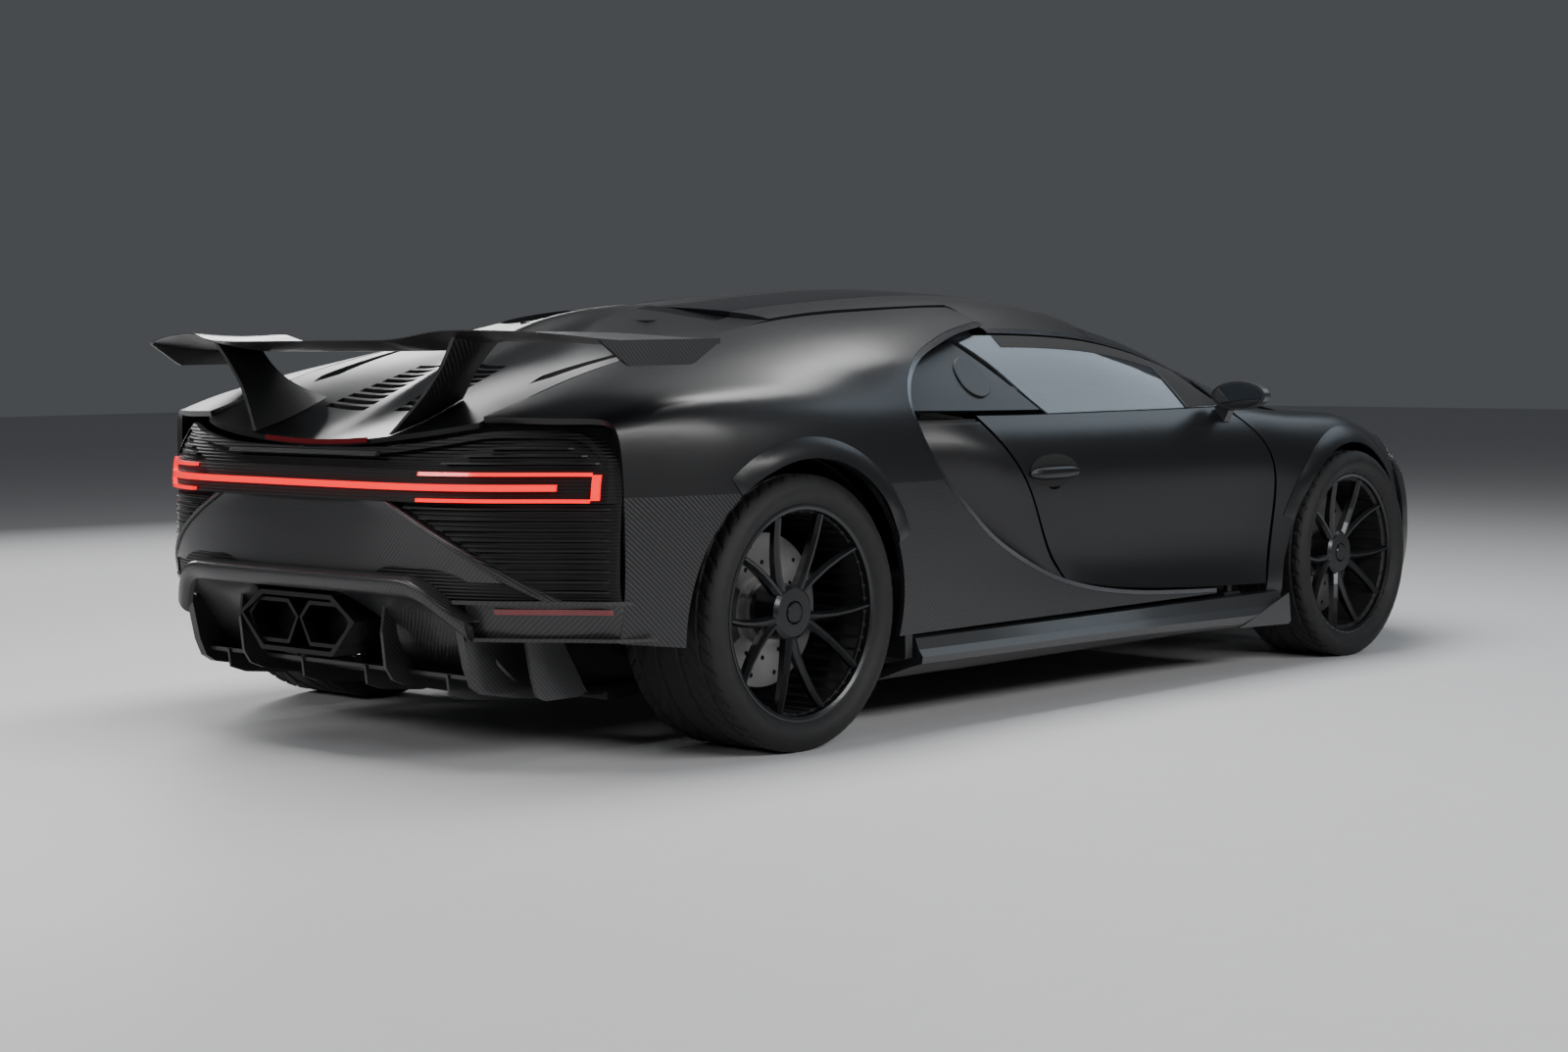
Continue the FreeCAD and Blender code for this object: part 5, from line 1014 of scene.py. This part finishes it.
@dataclass
class FrontPane(SidePart):
    """Dark front corner of the side glass, behind a slim upright bar.

    Attributes:
        low, high: heights of the bar's ends.
        foot, lean: station of the bar's foot, and how far it leans back over its height.
        width, rise: size of the bar.
        lift: how far the dark corner stands off the glass.
        ahead: station ahead of all the glass.
        rows, columns: points up the corner and along it.
    """

    low: float = 0.8365
    high: float = 0.983
    foot: float = 0.475
    lean: float = 0.030
    width: float = 0.013
    rise: float = 0.0035
    lift: float = 0.0008
    ahead: float = 0.70
    rows: int = 40
    columns: int = 12

    def build(self, dark: Material, bar: Material) -> None:
        """Make the corner and its bar on the door.

        Args:
            dark, bar: finishes of the corner and the bar.
        """
        corner, post = [], []
        half, seat = 0.5 * self.width, 0.0004
        profile = ((-half, seat), (-0.7 * half, self.rise), (0.7 * half, self.rise), (half, seat))
        for z in np.linspace(self.low, self.high, self.rows):
            start = self.foot - self.lean * (z - self.low) / (self.high - self.low)
            end = last_inside(lambda x: self.beside(x, z), start, self.ahead, 16)
            across = np.linspace(start, end - 0.0004, self.columns)
            corner.append([self.on_glass(x, z, self.lift) for x in across])
            post.append([self.on_glass(start + off, z, lift) for off, lift in profile])
        for name, rows, finish in (("front_pane", corner, dark), ("pane_bar", post, bar)):
            faces = turned(grid_faces(len(rows), len(rows[0])), self.side > 0)
            self.add(name, rows, faces, finish)

    def on_glass(self, x: float, z: float, lift: float) -> Place:
        """Point off the glass by a lift, taken from the nearest height that has glass."""
        hit = None
        while hit is None:
            hit = self.beside(x, z)
            z -= 0.0015
        return hit[0], hit[1] + self.side * lift, hit[2] + 0.4 * lift


@dataclass
class Handle(SidePart):
    """Door handle: a near-black sheet over the bowl in the skin as its painted shade, with a bar across its
    middle.

    Attributes:
        x, z: middle of the bowl.
        long, high: half sizes of the bowl.
        drop: how far the bar lies below the bowl's middle.
        bar: half length, half height and rise of the bar.
        off: how far the bowl and the bar's foot stand off the skin.
        stations: where the skin is measured, behind and ahead of the CAD hollow.
    """

    x: float = -0.305
    z: float = 0.676
    long: float = 0.112
    high: float = 0.0475
    drop: float = 0.006
    bar: tuple[float, float, float] = (0.118, 0.0165, 0.019)
    off: tuple[float, float] = (0.0012, 0.002)
    stations: tuple[float, float] = (-0.385, -0.16)

    def build(self, black: Material, finish: Material) -> None:
        """Make bowl and bar on the door.

        Both have elliptic rings. The bar's are half buried in height, and their size goes with the
        square root of 1 less the cube of the share along the bar.

        Args:
            black, finish: finishes of the bowl's painted shade and of the bar.
        """
        turns, bowl = round_angles(72), []
        rings = np.linspace(0.0, 1.0, 9)[1:]
        for r, a in ((r, a) for r in rings for a in turns):
            x, z = self.x + self.long * r * math.cos(a), self.z + self.high * r * math.sin(a)
            bowl.append((x, self.skin(x, z) + self.side * self.off[0], z))
        faces = grid_faces(len(rings), len(turns), wrap=True) + [tuple(range(len(turns)))[::-1]]
        # Painted shade: the bowl is a near-black sheet just off the skin, over a pocket that is dark only
        # from shade.
        self.add("handle_bowl_painted_shade", bowl, turned(faces, self.side < 0), black)
        long, high, rise = self.bar
        turns, bar = round_angles(24), []
        shares = np.linspace(-1.0, 1.0, 49)
        level = self.z - self.drop
        for share, width in zip(shares, np.sqrt(np.clip(1.0 - np.abs(shares) ** 3.0, 0.0004, 1.0))):
            x = self.x + long * share
            base = self.skin(x, level) + self.side * self.off[1]
            for a in turns:
                proud = rise * width * (0.5 + 0.5 * math.cos(a))
                bar.append((x, base + self.side * proud, level + high * width * math.sin(a)))
        last = len(bar) - len(turns)
        faces = grid_faces(len(shares), len(turns), wrap=True)
        faces += [tuple(range(len(turns)))[::-1], tuple(range(last, len(bar)))]
        self.add("handle_bar", bar, turned(faces, self.side < 0), finish, "body_paint")

    def skin(self, x: float, z: float) -> float:
        """Y of the door skin, taken straight between two stations either side of the CAD hollow."""
        rear, front = (self.beside(station, z)[1] for station in self.stations)
        share = (x - self.stations[0]) / (self.stations[1] - self.stations[0])
        return rear + (front - rear) * share


@dataclass
class MirrorGlass(SidePart):
    """Silvered glass in the back of a door mirror, a crowned oval.

    Attributes:
        width, height: half sizes.
        lift, crown: how far its edge stands off the mirror, and its middle off the edge.
        rings, steps: points from the middle out and round.
        start: place behind the mirror from which its back is looked for, on the left.
    """

    width: float = 0.084
    height: float = 0.036
    lift: float = 0.0015
    crown: float = 0.002
    rings: int = 8
    steps: int = 48
    start: Place = (0.3, 1.0, 0.872)

    def build(self, material: Material) -> None:
        """Lay the glass on the mirror's flat back.

        Args:
            material: its finish.
        """
        x, y, z = self.start
        hit = self.caster.hit((x, self.side * y, z), (1, 0, 0))
        r, a = np.meshgrid(np.linspace(0.0, 1.0, self.rings + 1)[1:], round_angles(self.steps), indexing="ij")
        points = np.stack([hit[0] - self.lift - self.crown * (1.0 - r ** 2),
                           hit[1] + self.width * r * np.cos(a), hit[2] + self.height * r * np.sin(a)], -1)
        faces = grid_faces(self.rings, self.steps, wrap=True) + [tuple(range(self.steps))[::-1]]
        self.add("mirror_glass", points, faces, material, "bright_trim")


# Stage and camera

@dataclass
class Studio:
    """Pale floor, soft lights and the photograph's camera.

    Attributes:
        eye: camera position.
        yaw, pitch, roll: camera direction in degrees, yaw from +X.
        lens: focal length on a 36 mm sensor.
    """

    eye: Vector = Vector((-6.436, -5.462, 1.044))
    yaw: float = 42.13
    pitch: float = -3.95
    roll: float = -0.36
    lens: float = 60.94
    floor_size: float = 60.0

    def camera(self) -> None:
        """Make the camera that matches the photograph."""
        yaw, pitch, roll = (math.radians(angle) for angle in (self.yaw, self.pitch, self.roll))
        ahead = Vector((math.cos(pitch) * math.cos(yaw), math.cos(pitch) * math.sin(yaw), math.sin(pitch)))
        right = ahead.cross(Vector((0, 0, 1))).normalized()
        up = right.cross(ahead)
        right, up = (math.cos(roll) * right + math.sin(roll) * up,
                     math.cos(roll) * up - math.sin(roll) * right)
        data = bpy.data.cameras.new("camera")
        data.lens, data.sensor_width = self.lens, 36.0
        data.clip_end = 200.0
        camera = bpy.data.objects.new("camera", data)
        bpy.context.collection.objects.link(camera)
        camera.matrix_world = Matrix.Translation(self.eye) @ Matrix((right, up, -ahead)).transposed().to_4x4()
        bpy.context.scene.camera = camera

    def light(self, name: str, place: Place, aim: Place, size: tuple[float, float], power: float,
              colour: Colour = (1.0, 1.0, 1.0)) -> None:
        """Add one soft box."""
        data = bpy.data.lights.new(name, "AREA")
        data.shape = "RECTANGLE"
        data.size, data.size_y = size
        data.energy = power
        data.color = colour
        lamp = bpy.data.objects.new(name, data)
        bpy.context.collection.objects.link(lamp)
        lamp.location = place
        lamp.rotation_euler = (Vector(aim) - Vector(place)).to_track_quat("-Z", "Y").to_euler()

    def build(self) -> None:
        """Make floor, lights, world and camera."""
        half = 0.5 * self.floor_size
        mesh = bpy.data.meshes.new("floor")
        corners = [(-half, -half, 0), (half, -half, 0), (half, half, 0), (-half, half, 0)]
        mesh.from_pydata(corners, [], [(0, 1, 2, 3)])
        floor = bpy.data.objects.new("floor", mesh)
        bpy.context.collection.objects.link(floor)
        mesh.materials.append(Plain("floor_pale", (0.62, 0.62, 0.63), 0.55, depth=0.0, mottle=0.03).build())
        world = bpy.data.worlds.new("studio")
        bpy.context.scene.world = world
        world.use_nodes = True
        world.node_tree.nodes["Background"].inputs[0].default_value = (0.72, 0.76, 0.82, 1.0)
        world.node_tree.nodes["Background"].inputs[1].default_value = 0.10
        self.light("overhead", (-0.3, 0.0, 4.6), (-0.3, 0.0, 0.0), (6.5, 2.0), 330.0)
        self.light("flank", (-1.0, -6.5, 3.2), (0.0, 0.0, 0.5), (7.0, 1.1), 300.0)
        self.light("rear", (-7.5, 1.5, 3.0), (-1.5, 0.0, 0.6), (4.0, 1.0), 130.0)
        self.light("far_side", (1.0, 7.0, 3.2), (0.0, 0.0, 0.5), (7.0, 1.1), 260.0)
        self.light("window", (5.6, -2.1, 4.6), (0.2, -0.6, 0.9), (3.6, 2.4), 52.0,
                   (0.74, 0.88, 1.0))
        self.camera()


def finishes() -> dict[str, Material]:
    """Material of each of the record's slots."""
    looks = {
        "body_paint": Paint("paint"),
        "carbon_weave": Carbon(),
        "carbon_raw": Plain("raw_carbon", (0.012, 0.012, 0.013), 0.5),
        "engine_metal": Plain("cast_alloy", (0.25, 0.25, 0.26), 0.4, metallic=1.0, depth=0.0004),
        "tinted_glass": Glass("tinted_glass", (0.028, 0.034, 0.041), 0.7),
        "dark_mesh": Plain("mesh_black", (0.006, 0.006, 0.007), 0.42),
        "lamp_lens": Glass("lamp_lens", (0.03, 0.032, 0.035), 0.72),
        "black_plastic": Plain("black_plastic", (0.008, 0.008, 0.009), 0.5),
        "bright_trim": Plain("dark_chrome", (0.16, 0.165, 0.175), 0.22, metallic=1.0),
        "tail_red": Glow("lamp_red", (1.0, 0.004, 0.010), 1.7),
        "lens_red": Plain("red_lens", (0.16, 0.003, 0.006), 0.12, coat=1.0, depth=0.0),
        "exhaust_metal": Plain("exhaust", (0.03, 0.03, 0.032), 0.3, metallic=0.8),
        "cast_links": Plain("cast", (0.03, 0.03, 0.032), 0.5, metallic=0.6),
        "black_leather": Leather("seat_leather"),
        "grip_leather": Leather("grip_leather", (0.01, 0.01, 0.01), 700.0),
        "tyre_rubber": Rubber(),
        "rim_metal": Plain("rim_satin", (0.035, 0.036, 0.038), 0.3, metallic=0.85, coat=0.2),
        "disc_iron": Plain("disc", (0.28, 0.275, 0.27), 0.38, metallic=0.9, mottle=0.3),
    }
    return {slot: look.build() for slot, look in looks.items()}


def dress_nodes(frame: dict, materials: dict[str, Material]) -> None:
    """Give every CAD node the finish of its slot, or a painted one with its zone.

    Args:
        frame: the loaded frame.
        materials: finish of each slot.
    """
    quarter = Paint("paint_over_carbon", zone=Zone.LOWER_CARBON).build()
    leg = Paint("paint_over_carbon_leg", zone=Zone.LOWER_CARBON, split=0.272).build()
    shelf = Paint("paint_under_shelf", zone=Zone.SHELF_CARBON, split=0.8135).build()
    lanes = Paint("paint_with_lanes", zone=Zone.GLOSS_LANES).build()
    special = {"quarter_right": quarter, "quarter_left": quarter, "fender_right": leg, "fender_left": leg,
               "intakes": shelf, "roof": lanes, "engine_cover": lanes, "tail_panel": Ribbed().build()}
    for entry in frame["record"]["subparts"]:
        name = entry["node"]
        material = special.get(name, materials[entry["material_slot"]])
        node = frame["nodes"][name]
        node.data.materials.clear()
        node.data.materials.append(material)
        log.info("node %s: %s", name, material.name)


def main() -> None:
    """Build the whole scene."""
    logging.basicConfig(level=logging.INFO, format="%(message)s")
    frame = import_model()
    materials = finishes()
    dress_nodes(frame, materials)
    tyres(materials["tyre_rubber"])
    seats(materials["black_leather"], materials["cast_links"])
    fascia = Caster(frame, "front_grille")
    Honeycomb().build(fascia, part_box("front_grille"), materials["dark_mesh"])
    lamps = Caster(frame, "headlamps")
    clear = Plain("lamp_cell", (0.42, 0.43, 0.45), 0.12, metallic=0.7, coat=0.8, depth=0.0).build()
    # Near-black for the printed frit and the dark front corners, and painted shade in the handle bowls.
    print_and_shade_black = Plain("print_and_shade_black", (0.0016, 0.0016, 0.0018), 0.8, depth=0.0).build()
    silver = Plain("mirror_silver", (0.5, 0.52, 0.55), 0.04, metallic=1.0, depth=0.0, mottle=0.02).build()
    for tag, side in (("right", -1.0), ("left", 1.0)):
        LampRow(tag, side, lamps).build(materials["black_plastic"], clear)
        pane = Caster(frame, f"door_glass_{tag}")
        Frit(tag, side, pane).build(print_and_shade_black)
        FrontPane(tag, side, pane).build(print_and_shade_black, materials["black_plastic"])
        MirrorGlass(tag, side, Caster(frame, f"mirror_{tag}")).build(silver)
        Handle(tag, side, Caster(frame, f"door_{tag}")).build(print_and_shade_black, materials["body_paint"])
    Studio().build()


if __name__ == "__main__":
    main()
